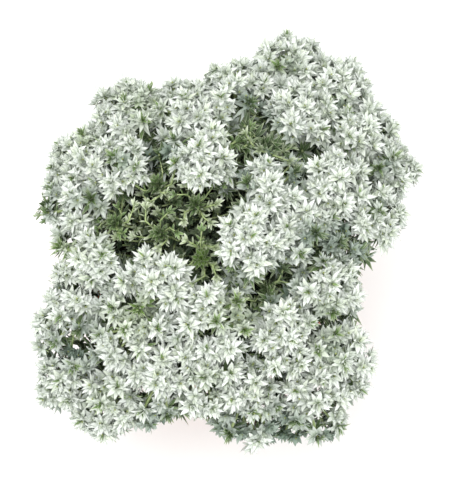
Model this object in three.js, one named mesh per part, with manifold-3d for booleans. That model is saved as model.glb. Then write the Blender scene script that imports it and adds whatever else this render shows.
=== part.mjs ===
// A potted cushion of whitlow-wort: silvery bract heads on leafy stems, set in soil in a plain clay pot.
// Millimetres, +Z up, origin at the centre of the pot's underside.
import * as THREE from 'three';
import { mergeVertices } from 'three/addons/utils/BufferGeometryUtils.js';
import Module from 'manifold-3d';

const wasm = await Module();
wasm.setup();

const GAP = 0.3;

const POT_HEIGHT = 88;
const POT_BASE_RADIUS = 36;
const POT_SHOULDER_RADIUS = 45;
const POT_RIM_RADIUS = 50;
const POT_RIM_HEIGHT = 20;
const POT_WALL = 5;
const POT_FLOOR = 6;
const POT_SIDES = 24;
const DRAIN_RADIUS = 5;
const DRAIN_CIRCLE = 20;
const DRAIN_COUNT = 3;

const SOIL_TOP = 79;
const SOIL_CROWN = 2;
const HOLE_DEPTH = 8;

const CUSHION_EDGE = 88;
const CUSHION_RISE = 48;
const CUSHION_RADIUS = 86;

const SPRAY_DOME = 3.5;
const SPRAY_FAN = 0.55;
const SPRAY_SLACK = 1.07;
const SETTLE_ROUNDS = 12;
const HEAD_SPACING = 10.5;
const HEAD_RADIUS = 7.6;
const HEAD_MARGIN = 0.16;
const HUB_DEPTH = 10;
const HUB_RADIUS = 1.9;
const STALK_RADIUS = 0.75;
const STALK_END_RADIUS = 0.45;

const STEM_RADIUS = 0.9;
const STEM_GATHER = 0.44;
const STEM_ARCH = 40;
const STEM_TURN = 8;
const WHORL_LEAVES = 6;
const WHORL_RADIUS = 12;
const LEAF_NOTCH = 0.45;
const LEAF_THICKNESS = 2.4;
const WHORL_COUNT = 2;
const LEAFY_WHORL_COUNT = 3;

const SEED = 1907;

// Each flowering shoot carries one or two sprays, given as plan x, plan y, reach, lift and head count.
const SHOOTS = [
  [[31, 76, 9.0, 0, 6], [36, 49, 9.5, 0, 6]],
  [[49, 67, 8.4, 0, 6], [60, 45, 8.7, 0, 6]],
  [[9, 58, 9.9, 0, 6], [23, 13, 8.7, 1, 6]],
  [[-11, 50, 8.4, 0, 6], [-5, 27, 9.1, 3, 6]],
  [[-33, 50, 9.5, 0, 7], [-37, 26, 8.0, 0, 5]],
  [[-52, 30, 8.0, 0, 6], [-54, 12, 7.6, 0, 5]],
  [[70, 31, 6.8, 0, 5], [63, 9, 7.6, 0, 6]],
  [[49, 18, 9.5, 2, 6], [38, -4, 8.7, 2, 6]],
  [[15, -8, 8.4, 3, 6]],
  [[45, -22, 8.4, 0, 6], [49, -49, 9.5, 0, 7]],
  [[40, -64, 8.7, 0, 6], [14, -67, 9.1, -2, 6]],
  [[29, -45, 10.3, 0, 6], [2, -39, 9.9, 0, 6]],
  [[-3, -57, 9.1, 0, 6], [-21, -59, 8.7, 0, 6]],
  [[-41, -64, 8.0, 0, 6], [-58, -54, 6.5, 0, 5]],
  [[-57, -32, 7.6, 0, 6], [-32, -41, 10.3, 0, 6]],
  [[-50, -12, 8.0, 0, 6], [-23, -24, 9.9, -2, 6]],
];

// Leafy shoots without flowers fill the hollow, as plan x, plan y and drop below the cushion.
const LEAFY_SHOOTS = [
  [-21, 17, 9],
  [-6, 8, 9],
  [-37, 3, 9],
  [-20, -3, 9],
  [-4, -13, 9],
  [21, -24, 11],
  [-62, 13, 8],
  [20, 33, 9],
];

const COLOURS = {
  clay: new THREE.Color(0xb5673f),
  soil: new THREE.Color(0x3d2e22),
  bract: new THREE.Color(0xdfe4db),
  leaf: new THREE.Color(0x6f8560),
};

function seededRandom(seed) {
  let state = seed >>> 0;
  return () => {
    state = (state + 0x6d2b79f5) >>> 0;
    let mix = state;
    mix = Math.imul(mix ^ (mix >>> 15), mix | 1);
    mix ^= mix + Math.imul(mix ^ (mix >>> 7), mix | 61);
    return ((mix ^ (mix >>> 14)) >>> 0) / 4294967296;
  };
}

function toSolid(geometry) {
  const bare = geometry.index ? geometry.clone() : geometry;
  bare.deleteAttribute('normal');
  bare.deleteAttribute('uv');
  const merged = mergeVertices(bare, 1e-4);
  return new wasm.Manifold(new wasm.Mesh({
    numProp: 3,
    vertProperties: new Float32Array(merged.attributes.position.array),
    triVerts: new Uint32Array(merged.index.array),
  }));
}

function toGeometry(solid) {
  const mesh = solid.getMesh();
  const geometry = new THREE.BufferGeometry();
  geometry.setAttribute('position', new THREE.BufferAttribute(mesh.vertProperties, 3));
  geometry.setIndex(new THREE.BufferAttribute(mesh.triVerts, 1));
  geometry.computeVertexNormals();
  return geometry;
}

function meshFrom(points, faces) {
  const geometry = new THREE.BufferGeometry();
  geometry.setAttribute('position', new THREE.Float32BufferAttribute(points.flatMap((p) => [p.x, p.y, p.z]), 3));
  geometry.setIndex(faces.flat());
  return geometry;
}

function finish(name, solid, colour, roughness) {
  const material = new THREE.MeshStandardMaterial({ color: colour, roughness, metalness: 0, flatShading: true });
  const mesh = new THREE.Mesh(toGeometry(solid), material);
  mesh.name = name;
  return mesh;
}

// Height of the cushion's top over a point in plan.
function cushionHeight(x, y) {
  const part = Math.hypot(x, y) / CUSHION_RADIUS;
  return CUSHION_EDGE + CUSHION_RISE * (1 - part * part);
}

// Outward direction of the cushion's top over a point in plan.
function cushionNormal(x, y) {
  const slope = (2 * CUSHION_RISE) / (CUSHION_RADIUS * CUSHION_RADIUS);
  return new THREE.Vector3(x * slope, y * slope, 1).normalize();
}

// A spray holds one head in the middle and the others in a ring, given as plan offsets.
function ringOf([, , reach, , count], random) {
  const turn = random() * Math.PI * 2;
  return Array.from({ length: count }, (_, k) => {
    const out = reach * (k === 0 ? 0.1 : 0.9 + 0.2 * random());
    const angle = turn + ((k + 0.3 * random()) * Math.PI * 2) / (count - 1);
    return new THREE.Vector2(Math.cos(angle) * out, Math.sin(angle) * out);
  });
}

// Heads that crowd each other in plan move apart, without leaving their own spray.
function settle(rows, rings) {
  const all = rings.flatMap((ring, n) => ring.map((offset) => ({ offset, row: rows[n] })));
  const place = ({ offset, row }) => new THREE.Vector2(row[0] + offset.x, row[1] + offset.y);
  for (let round = 0; round < SETTLE_ROUNDS; round += 1) {
    const spots = all.map(place);
    all.forEach(({ offset, row }, n) => {
      for (const spot of spots) {
        const away = spots[n].clone().sub(spot);
        const space = away.length();
        if (space > 0 && space < HEAD_SPACING) {
          offset.addScaledVector(away, (0.3 * (HEAD_SPACING - space)) / space);
        }
      }
      offset.clampLength(0, row[2] * SPRAY_SLACK);
    });
  }
}

function growSpray([x, y, reach, lift], ring, random) {
  const normal = cushionNormal(x, y);
  const heads = ring.map((offset) => {
    const px = x + offset.x;
    const py = y + offset.y;
    const out = offset.length() / reach;
    const pz = cushionHeight(px, py) + lift + SPRAY_DOME * (1 - out * out) + 1.6 * (random() - 0.5);
    const lean = new THREE.Vector3(offset.x, offset.y, 0).multiplyScalar(SPRAY_FAN / reach);
    return {
      centre: new THREE.Vector3(px, py, pz),
      axis: normal.clone().add(lean).normalize(),
      radius: HEAD_RADIUS * (0.88 + 0.2 * random()),
      bracts: random() < 0.7 ? 5 : 6,
      turn: random() * Math.PI * 2,
    };
  });
  const middle = new THREE.Vector3(x, y, cushionHeight(x, y) + lift + SPRAY_DOME);
  return { heads, normal, hub: middle.addScaledVector(normal, -HUB_DEPTH) };
}

// Two crossed layers of pointed bracts round a shallow cup, with a three-sided stalk down to the hub.
function headPoints({ centre, axis, radius, bracts, turn }, foot, footRadius) {
  const side = new THREE.Vector3(0, 1, 0).cross(axis).normalize();
  const front = axis.clone().cross(side);
  const place = (origin, angle, out, up) => origin.clone()
    .addScaledVector(side, Math.cos(angle) * out)
    .addScaledVector(front, Math.sin(angle) * out)
    .addScaledVector(axis, up);
  const step = Math.PI / bracts;
  const star = [place(centre, 0, 0, 1.5)];
  for (let k = 0; k < bracts; k += 1) {
    const angle = turn + 2 * k * step;
    star.push(place(centre, angle, radius, 0.3), place(centre, angle + step, radius * 0.6, -0.9));
    star.push(place(centre, angle, radius * 0.3, 1.6), place(centre, angle + step, radius * 0.66, 3.4));
  }
  const stalk = [];
  for (const [origin, thick, up] of [[centre, STALK_RADIUS, -1.8], [foot, footRadius, 0]]) {
    for (let k = 0; k < 3; k += 1) {
      stalk.push(place(origin, turn + ((2 * k + 1) * Math.PI) / 3, thick, up));
    }
  }
  return { star, stalk };
}

function headFaces(bracts) {
  const faces = [];
  const neck = 1 + 4 * bracts;
  const rim = (n) => 1 + 4 * (Math.floor(n / 2) % bracts) + (n % 2);
  const under = (n) => neck + (Math.floor((3 * n) / (2 * bracts)) % 3);
  for (let n = 0; n < 2 * bracts; n += 1) {
    faces.push([under(n), rim(n + 1), rim(n)]);
    if (under(n) !== under(n + 1)) {
      faces.push([under(n), under(n + 1), rim(n + 1)]);
    }
  }
  for (let k = 0; k < bracts; k += 1) {
    const [tip, notch, cup, crest] = [1, 2, 3, 4].map((n) => n + 4 * k);
    const next = 1 + 4 * ((k + 1) % bracts);
    faces.push([tip, notch, cup], [notch, next, next + 2]);
    faces.push([notch, crest, cup], [notch, next + 2, crest]);
    faces.push([cup, crest, 0], [crest, next + 2, 0]);
  }
  for (let k = 0; k < 3; k += 1) {
    const next = (k + 1) % 3;
    faces.push([neck + k, neck + 3 + k, neck + 3 + next], [neck + k, neck + 3 + next, neck + next]);
  }
  faces.push([neck + 3, neck + 5, neck + 4]);
  return faces;
}

// Planes halfway between a point and its neighbours, each as a direction and a distance.
function halfway(origin, others, margin) {
  return others.map((other) => {
    const away = other.clone().sub(origin);
    const half = away.length() / 2 - margin;
    return { away: away.normalize(), half };
  });
}

// A point is drawn in towards its origin until it lies on the near side of every plane.
function drawIn(point, origin, planes) {
  const arm = point.clone().sub(origin);
  let scale = 1;
  for (const { away, half } of planes) {
    const reach = arm.dot(away);
    if (reach * scale > half) {
      scale = half / reach;
    }
  }
  return point.copy(origin).addScaledVector(arm, scale);
}

function headSolid(head, foot, footRadius, heads) {
  const { star, stalk } = headPoints(head, foot, footRadius);
  const near = heads.map((other) => other.centre)
    .filter((centre) => centre !== head.centre && centre.distanceTo(head.centre) < 2.3 * HEAD_RADIUS);
  const planes = halfway(head.centre, near, HEAD_MARGIN);
  star.forEach((point) => drawIn(point, head.centre, planes));
  return toSolid(meshFrom([...star, ...stalk], headFaces(head.bracts)));
}

// The middle head's stalk widens into the knot that the ring of stalks grows from.
function spraySolid({ hub, normal, heads: own }, heads) {
  const [middle, ...ring] = own;
  const foot = hub.clone().addScaledVector(normal, 0.8);
  const solid = headSolid(middle, hub, HUB_RADIUS, heads);
  return ring.reduce((sum, head) => sum.add(headSolid(head, foot, STALK_END_RADIUS, heads)), solid);
}

// A stem stands up from its soil hole, arches over the rim and comes up under its spray.
function stemCurve(root, hub, normal, stop) {
  const end = hub.clone().addScaledVector(normal, -stop);
  return new THREE.CubicBezierCurve3(
    root,
    root.clone().add(new THREE.Vector3(0, 0, STEM_ARCH)),
    end.clone().addScaledVector(normal, -STEM_TURN),
    end,
  );
}

function overRim(point) {
  return point.z > POT_HEIGHT + 0.6 || Math.hypot(point.x, point.y) > POT_RIM_RADIUS + 0.6;
}

// The ray of a leaf is shortened until its blade stays clear of the rim and of every head and stalk.
function shorten(tip, centre, balls) {
  const arm = tip.clone().sub(centre);
  const clear = (part) => {
    const spot = centre.clone().addScaledVector(arm, part);
    return overRim(spot) && balls.every((ball) => ball.centre.distanceTo(spot) > ball.radius);
  };
  let scale = 1;
  while (scale > 0.25 && !(clear(scale) && clear(scale * 0.7) && clear(scale * 0.4))) {
    scale -= 0.05;
  }
  return tip.copy(centre).addScaledVector(arm, scale);
}

// A whorl is a star of pointed leaves round the stem.
function whorlPoints({ leaves, radius, lift, turn }, centre, along, obstacles) {
  const side = new THREE.Vector3(0, 1, 0).cross(along).normalize();
  const front = along.clone().cross(side);
  const planes = halfway(centre, obstacles.points.filter((p) => p.distanceTo(centre) < 2.2 * radius), 0.25);
  const place = (angle, out, up) => {
    const point = centre.clone().addScaledVector(side, Math.cos(angle) * out)
      .addScaledVector(front, Math.sin(angle) * out).addScaledVector(along, up);
    return shorten(drawIn(point, centre, planes), centre, obstacles.balls);
  };
  const step = Math.PI / leaves;
  return Array.from({ length: leaves }, (_, k) => turn + 2 * k * step).flatMap((angle) => [
    place(angle, radius, radius * lift),
    place(angle + step, radius * LEAF_NOTCH, radius * lift * 0.3),
  ]);
}

// Two rings of points round the same line are joined into a band, whatever their counts.
function zip(low, lowCount, high, highCount) {
  const faces = [];
  let a = 0;
  let b = 0;
  while (a < lowCount || b < highCount) {
    const onLow = b === highCount || (a < lowCount && (a + 0.5) / lowCount < (b + 0.5) / highCount);
    const corner = [low + (a % lowCount), high + (b % highCount)];
    a += onLow ? 1 : 0;
    b += onLow ? 0 : 1;
    faces.push([corner[0], onLow ? low + (a % lowCount) : high + (b % highCount), corner[1]]);
  }
  return faces;
}

// One branch is a three-sided stem that opens into a star of leaves at every whorl.
function branchSolid({ curve, whorls, taper, turn }, obstacles) {
  const total = curve.getLength();
  const stops = [{ at: 0 }, { at: HOLE_DEPTH / total }, { at: whorls[0].at * 0.6 }];
  const pinch = LEAF_THICKNESS / 2 / total;
  for (const whorl of whorls) {
    stops.push({ at: whorl.at - pinch }, { at: whorl.at, whorl }, { at: whorl.at + pinch });
  }
  stops.push({ at: 1 });
  const points = [];
  const faces = [[0, 2, 1]];
  const side = new THREE.Vector3(0, 1, 0);
  let last = null;
  for (const { at, whorl } of stops) {
    const centre = curve.getPointAt(at);
    const along = curve.getTangentAt(at);
    const across = side.clone().cross(along).normalize();
    const front = along.clone().cross(across);
    const thin = STEM_RADIUS * (1 - (1 - taper) * at);
    const ring = whorl ? whorlPoints({ ...whorl, turn }, centre, along, obstacles)
      : [0, 1, 2].map((k) => centre.clone().addScaledVector(across, Math.cos(turn + (k * 2 * Math.PI) / 3) * thin)
        .addScaledVector(front, Math.sin(turn + (k * 2 * Math.PI) / 3) * thin));
    const first = points.length;
    points.push(...ring);
    if (last !== null) {
      faces.push(...zip(last, first - last, first, ring.length));
    }
    last = first;
  }
  faces.push([last, last + 1, last + 2]);
  return toSolid(meshFrom(points, faces));
}

function soilHeight(x, y) {
  const part = Math.hypot(x, y) / POT_SHOULDER_RADIUS;
  return SOIL_TOP + SOIL_CROWN * (1 - part * part);
}

function rootOf(x, y) {
  const rx = x * STEM_GATHER;
  const ry = y * STEM_GATHER;
  return new THREE.Vector3(rx, ry, soilHeight(rx, ry) - HOLE_DEPTH + 1);
}

function layWhorls(count, first, last, lift, random) {
  return Array.from({ length: count }, (_, k) => ({
    at: first + ((last - first) * k) / (count - 1),
    leaves: WHORL_LEAVES,
    radius: WHORL_RADIUS * (0.9 + 0.2 * random()),
    lift,
  }));
}

function layShoots(random) {
  const rows = SHOOTS.flat();
  const rings = rows.map((row) => ringOf(row, random));
  settle(rows, rings);
  return SHOOTS.map((own) => {
    const sprays = own.map((row) => growSpray(row, rings[rows.indexOf(row)], random));
    const x = own.reduce((sum, row) => sum + row[0], 0) / own.length;
    const y = own.reduce((sum, row) => sum + row[1], 0) / own.length;
    const root = rootOf(x, y);
    const branches = sprays.map((spray) => ({
      curve: stemCurve(root, spray.hub, spray.normal, GAP),
      whorls: layWhorls(WHORL_COUNT, 0.6, 0.93, 0.3, random),
      taper: 0.7,
      turn: random() * Math.PI,
    }));
    return { sprays, branches, root };
  });
}

function layLeafyShoots(random) {
  return LEAFY_SHOOTS.map(([x, y, drop]) => {
    const root = rootOf(x, y);
    const tip = new THREE.Vector3(x, y, cushionHeight(x, y) - drop);
    const branch = {
      curve: stemCurve(root, tip, cushionNormal(x, y), 0),
      whorls: layWhorls(LEAFY_WHORL_COUNT, 0.55, 0.97, 0.5, random),
      taper: 0.7,
      turn: random() * Math.PI,
    };
    return { branches: [branch], root };
  });
}

function obstaclesFor(own, plants, heads, sprays) {
  const points = plants.filter((plant) => plant !== own)
    .flatMap((plant) => plant.branches.flatMap((branch) => [
      ...branch.curve.getSpacedPoints(30), ...branch.whorls.map((whorl) => branch.curve.getPointAt(whorl.at))]));
  const balls = heads.map((head) => ({ centre: head.centre, radius: head.radius + 0.4 }));
  for (const spray of sprays) {
    balls.push({ centre: spray.hub, radius: HUB_RADIUS + 0.4 });
    for (const head of spray.heads) {
      for (const part of [0.2, 0.4, 0.6]) {
        balls.push({ centre: spray.hub.clone().lerp(head.centre, part), radius: 1.6 });
      }
    }
  }
  return { points, balls };
}

function plantSolid(plant, obstacles) {
  return plant.branches.map((branch) => branchSolid(branch, obstacles)).reduce((sum, part) => sum.add(part));
}

function lathe(profile, sides) {
  return toSolid(new THREE.LatheGeometry(profile.map(([x, y]) => new THREE.Vector2(x, y)), sides)
    .rotateX(Math.PI / 2));
}

function insideRadius(z) {
  const low = POT_BASE_RADIUS - POT_WALL;
  const high = POT_SHOULDER_RADIUS - POT_WALL + 1;
  return low + ((high - low) * (z - POT_FLOOR)) / (POT_HEIGHT - POT_FLOOR);
}

function potSolid() {
  const rimFoot = POT_HEIGHT - POT_RIM_HEIGHT;
  const profile = [
    [0, 0],
    [POT_BASE_RADIUS, 0],
    [POT_SHOULDER_RADIUS, rimFoot],
    [POT_RIM_RADIUS - 1.5, rimFoot + 0.5],
    [POT_RIM_RADIUS, POT_HEIGHT - 1],
    [POT_RIM_RADIUS - 1, POT_HEIGHT],
    [insideRadius(POT_HEIGHT), POT_HEIGHT],
    [insideRadius(POT_FLOOR), POT_FLOOR],
    [0, POT_FLOOR],
  ];
  let solid = lathe(profile, POT_SIDES);
  for (let k = 0; k < DRAIN_COUNT; k += 1) {
    const angle = (k * 2 * Math.PI) / DRAIN_COUNT;
    const drain = new THREE.CylinderGeometry(DRAIN_RADIUS, DRAIN_RADIUS, 4 * POT_FLOOR, 8).rotateX(Math.PI / 2)
      .translate(DRAIN_CIRCLE * Math.cos(angle), DRAIN_CIRCLE * Math.sin(angle), 0);
    solid = solid.subtract(toSolid(drain));
  }
  return solid;
}

function soilSolid(roots) {
  const bottom = POT_FLOOR + GAP;
  const profile = [[0, bottom], [insideRadius(bottom) - GAP, bottom]];
  const edge = insideRadius(SOIL_TOP) - GAP;
  profile.push([edge, soilHeight(edge, 0)]);
  profile.push([0, soilHeight(0, 0)]);
  let solid = lathe(profile, POT_SIDES);
  const size = 2 * STEM_RADIUS + 1;
  for (const root of roots) {
    const hole = new THREE.BoxGeometry(size, size, HOLE_DEPTH * 2)
      .translate(root.x, root.y, root.z - GAP + HOLE_DEPTH);
    solid = solid.subtract(toSolid(hole));
  }
  return solid;
}

const random = seededRandom(SEED);
const shoots = layShoots(random);
const leafyShoots = layLeafyShoots(random);
const plants = [...shoots, ...leafyShoots];
const sprays = shoots.flatMap((shoot) => shoot.sprays);
const heads = sprays.flatMap((spray) => spray.heads);
const number = (n) => String(n + 1).padStart(2, '0');

const model = new THREE.Group();
model.add(finish('pot', potSolid(), COLOURS.clay, 0.85));
model.add(finish('soil', soilSolid(plants.map((plant) => plant.root)), COLOURS.soil, 1));
sprays.forEach((spray, n) => {
  model.add(finish(`spray_${number(n)}`, spraySolid(spray, heads), COLOURS.bract, 0.6));
});
shoots.forEach((shoot, n) => {
  const solid = plantSolid(shoot, obstaclesFor(shoot, plants, heads, sprays));
  model.add(finish(`stem_${number(n)}`, solid, COLOURS.leaf, 0.7));
});
leafyShoots.forEach((shoot, n) => {
  const solid = plantSolid(shoot, obstaclesFor(shoot, plants, heads, sprays));
  model.add(finish(`leafy_shoot_${number(n)}`, solid, COLOURS.leaf, 0.7));
});

export default model;
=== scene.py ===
"""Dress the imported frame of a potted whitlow-wort: papery heads, leafy stems, soil and a clay pot."""

from __future__ import annotations

import logging
import math
from dataclasses import dataclass, field
from enum import Enum, IntEnum
from typing import Iterable, Sequence

import bmesh
import bpy
import numpy as np
from mathutils import Matrix, Vector

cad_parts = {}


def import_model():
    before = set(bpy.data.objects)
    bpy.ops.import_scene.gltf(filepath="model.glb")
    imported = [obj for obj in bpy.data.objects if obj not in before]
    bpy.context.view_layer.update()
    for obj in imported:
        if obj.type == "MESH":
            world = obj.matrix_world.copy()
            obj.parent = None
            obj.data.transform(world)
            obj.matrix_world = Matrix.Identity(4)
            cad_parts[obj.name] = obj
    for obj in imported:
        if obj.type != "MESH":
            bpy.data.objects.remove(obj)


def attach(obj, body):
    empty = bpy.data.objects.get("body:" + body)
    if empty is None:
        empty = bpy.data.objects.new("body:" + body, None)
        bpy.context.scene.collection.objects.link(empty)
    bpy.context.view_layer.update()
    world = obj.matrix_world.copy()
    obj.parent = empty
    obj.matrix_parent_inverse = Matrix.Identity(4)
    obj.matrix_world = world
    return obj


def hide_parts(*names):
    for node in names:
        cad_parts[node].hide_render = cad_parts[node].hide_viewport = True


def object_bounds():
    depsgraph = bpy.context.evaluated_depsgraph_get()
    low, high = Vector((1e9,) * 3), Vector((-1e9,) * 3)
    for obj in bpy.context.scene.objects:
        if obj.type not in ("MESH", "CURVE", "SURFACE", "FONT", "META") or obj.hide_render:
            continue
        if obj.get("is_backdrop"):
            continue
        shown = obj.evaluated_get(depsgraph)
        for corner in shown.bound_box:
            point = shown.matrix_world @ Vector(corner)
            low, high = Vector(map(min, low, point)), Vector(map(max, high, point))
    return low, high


LOG = logging.getLogger("whitlow_wort")

# A millimetre in metres, and the highest 32-bit whole number.
MM = 0.001
WORD = 0xFFFFFFFF

# How many millimetres a pixel of the photograph shows, its width and height in pixels, how steeply it looks
# down, in degrees, and how far off the camera stands, in millimetres.
PHOTO_SCALE = 0.38
PHOTO_SIZE = (452, 480)
VIEW_RISE = 76.0
VIEW_DISTANCE = 2600.0

# Sizes of the heads, hubs, pot, soil and stem holes, in millimetres. Points nearer than the weld are joined.
WELD = 0.001
HEAD_RADIUS = 7.6
HUB_RADIUS = 1.9
HUB_DEPTH = 10.0
POT_HEIGHT = 88.0
POT_RIM_RADIUS = 50.0
POT_INNER_RADIUS = 39.5
RIM_EASE = 0.5
SOIL_TOP = 79.0
SOIL_CROWN = 2.0
SOIL_RADIUS = 45.0
HOLE_DEPTH = 8.0

# The sprays of each stem, as plan x, plan y, reach, lift and number of heads.
SHOOTS = [
    [[31, 76, 9.0, 0, 6], [36, 49, 9.5, 0, 6]],
    [[49, 67, 8.4, 0, 6], [60, 45, 8.7, 0, 6]],
    [[9, 58, 9.9, 0, 6], [23, 13, 8.7, 1, 6]],
    [[-11, 50, 8.4, 0, 6], [-5, 27, 9.1, 3, 6]],
    [[-33, 50, 9.5, 0, 7], [-37, 26, 8.0, 0, 5]],
    [[-52, 30, 8.0, 0, 6], [-54, 12, 7.6, 0, 5]],
    [[70, 31, 6.8, 0, 5], [63, 9, 7.6, 0, 6]],
    [[49, 18, 9.5, 2, 6], [38, -4, 8.7, 2, 6]],
    [[15, -8, 8.4, 3, 6]],
    [[45, -22, 8.4, 0, 6], [49, -49, 9.5, 0, 7]],
    [[40, -64, 8.7, 0, 6], [14, -67, 9.1, -2, 6]],
    [[29, -45, 10.3, 0, 6], [2, -39, 9.9, 0, 6]],
    [[-3, -57, 9.1, 0, 6], [-21, -59, 8.7, 0, 6]],
    [[-41, -64, 8.0, 0, 6], [-58, -54, 6.5, 0, 5]],
    [[-57, -32, 7.6, 0, 6], [-32, -41, 10.3, 0, 6]],
    [[-50, -12, 8.0, 0, 6], [-23, -24, 9.9, -2, 6]],
]

# The shoots without flowers, as plan x, plan y and how far they end below the cushion's top.
LEAFY_SHOOTS = [
    [-21, 17, 9],
    [-6, 8, 9],
    [-37, 3, 9],
    [-20, -3, 9],
    [-4, -13, 9],
    [21, -24, 11],
    [-62, 13, 8],
    [20, 33, 9],
]

# Patches of greener growth and of painted shade, as plan x, plan y, radius and shade: 0 for bright
# young leaves, 1 for deep painted shade.
PATCHES = [
    [-19, 27, 7, 1.0],
    [-34, 25, 5, 0.7],
    [8, 33, 5, 0.1],
    [21, 31, 7, 1.0],
    [14, 49, 7, 1.0],
    [21, 43, 6, 1.0],
    [34, 33, 6, 1.0],
    [12, 16, 5, 0.9],
    [31, 19, 7, 0.9],
    [-26, 49, 7, 0.3],
    [-48, 35, 4, 0.2],
    [-55, -8, 5, 0.1],
    [-29, -33, 8, 0.2],
    [-52, -42, 9, 1.0],
    [8, -35, 8, 0.25],
    [18, -28, 5, 0.6],
    [43, -34, 6, 0.5],
    [46, -44, 6, 0.5],
    [1, -60, 4, 0.3],
    [-20, -71, 6, 1.0],
    [27, -72, 8, 1.0],
    [10, -72, 6, 1.0],
    [43, -71, 5, 1.0],
    [50, -3, 7, 1.0],
    [28, -19, 7, 1.0],
    [-40, -61, 4, 0.3],
    [28, 69, 5, 0.5],
    [50, 53, 4, 0.7],
    [65, 30, 5, 0.8],
    [62, 12, 4, 0.7],
    [40, -7, 8, 1.0],
    [-47, 11, 5, 0.8],
    [-64, 13, 6, 1.0],
    [-38, -7, 5, 0.3],
    [-4, -13, 6, 0.0],
]

# The tone of a blade: its light, its shadow and its youth, each from 0 to 1.
Tone = tuple[float, float, float]
Range = tuple[float, float]
Colour = tuple[float, float, float, float]
Socket = bpy.types.NodeSocket


class Slot(Enum):
    """Material slots."""

    CLAY = "clay"
    SOIL = "soil"
    BRACT = "bract"
    LEAF = "leaf"


class SprayPart(IntEnum):
    """Materials of a flower spray, in the order of its slots."""

    BRACT = 0
    LEAF = 1
    STALK = 2
    BUD = 3


class StemPart(IntEnum):
    """Materials of a leafy stem, in the order of its slots."""

    LEAF = 0
    STEM = 1
    YOUNG = 2


class Draw:
    """Seeded random numbers, made in the same way as those that place the solids."""

    def __init__(self, seed: int) -> None:
        """Start the row.

        Args:
            seed: Whole number that the row starts from.
        """
        self.state = seed & WORD

    def next(self) -> float:
        """Draw the next number of the row.

        Returns:
            A number from 0 to just under 1.
        """
        self.state = (self.state + 0x6D2B79F5) & WORD
        mix = self.state
        mix = ((mix ^ (mix >> 15)) * (mix | 1)) & WORD
        mix ^= (mix + (((mix ^ (mix >> 7)) * (mix | 61)) & WORD)) & WORD
        return ((mix ^ (mix >> 14)) & WORD) / (WORD + 1)

    def between(self, low: float, high: float) -> float:
        """Return a number between two limits."""
        return low + (high - low) * self.next()


@dataclass
class Head:
    """One flower head: its centre, the way it faces and how far its bracts reach."""

    centre: Vector
    axis: Vector
    radius: float
    turn: float
    planes: list[tuple[Vector, float]] = field(default_factory=list)
    least: float = 2.0
    level: float = 0.05

    def room(self, root: Vector, along: Vector, length: float, ease: float) -> float:
        """Return how long a blade can be before it reaches the neighbouring heads.

        Args:
            root: Where the blade starts.
            along: The way it points, of length one.
            length: How long it would like to be.
            ease: How far it may reach past the halfway planes.

        Returns:
            Its length, not under the least one.
        """
        for away, half in self.planes:
            slope = along.dot(away)
            if slope > self.level:
                length = min(length, (half + ease - (root - self.centre).dot(away)) / slope)
        return max(length, self.least)


@dataclass
class Spray:
    """A bunch of heads on stalks that meet in a hub."""

    heads: list[Head]
    normal: Vector
    hub: Vector


@dataclass
class Whorl:
    """A ring of leaves at one place on a stem."""

    at: float
    radius: float
    lift: float
    leaves: int = 6


@dataclass
class Branch:
    """A stem from its soil hole to its end, with its whorls."""

    ends: tuple[Vector, Vector, Vector, Vector]
    whorls: list[Whorl]
    turn: float
    steps: int = 200
    rows: list[tuple[float, Vector]] = field(default_factory=list)

    def __post_init__(self) -> None:
        """Measure the curve in short steps."""
        self.rows = [(0.0, self.curve(0.0))]
        for step in range(1, self.steps + 1):
            point = self.curve(step / self.steps)
            self.rows.append((self.rows[-1][0] + (point - self.rows[-1][1]).length, point))

    def curve(self, t: float) -> Vector:
        """Work out a point of the curve that its four ends and guides bend.

        Args:
            t: The curve's parameter, from 0 to 1.

        Returns:
            The point.
        """
        a, b, c, d = self.ends
        s = 1 - t
        return a * s**3 + b * (3 * s * s * t) + c * (3 * s * t * t) + d * t**3

    def length(self) -> float:
        """Return the length of the curve."""
        return self.rows[-1][0]

    def point(self, part: float) -> Vector:
        """Find a point by how far along the stem it is.

        Args:
            part: The share of the length, from 0 to 1.

        Returns:
            The point.
        """
        want = part * self.length()
        for (low, start), (high, stop) in zip(self.rows, self.rows[1:]):
            if high >= want:
                return start.lerp(stop, (want - low) / max(high - low, 1e-9))
        return self.rows[-1][1].copy()

    def along(self, part: float) -> Vector:
        """Return the direction of the stem at a share of the length."""
        return (self.point(min(part + 0.005, 1.0)) - self.point(max(part - 0.005, 0.0))).normalized()


@dataclass
class Plant:
    """What grows from one soil hole."""

    branches: list[Branch]
    sprays: list[Spray]


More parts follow.
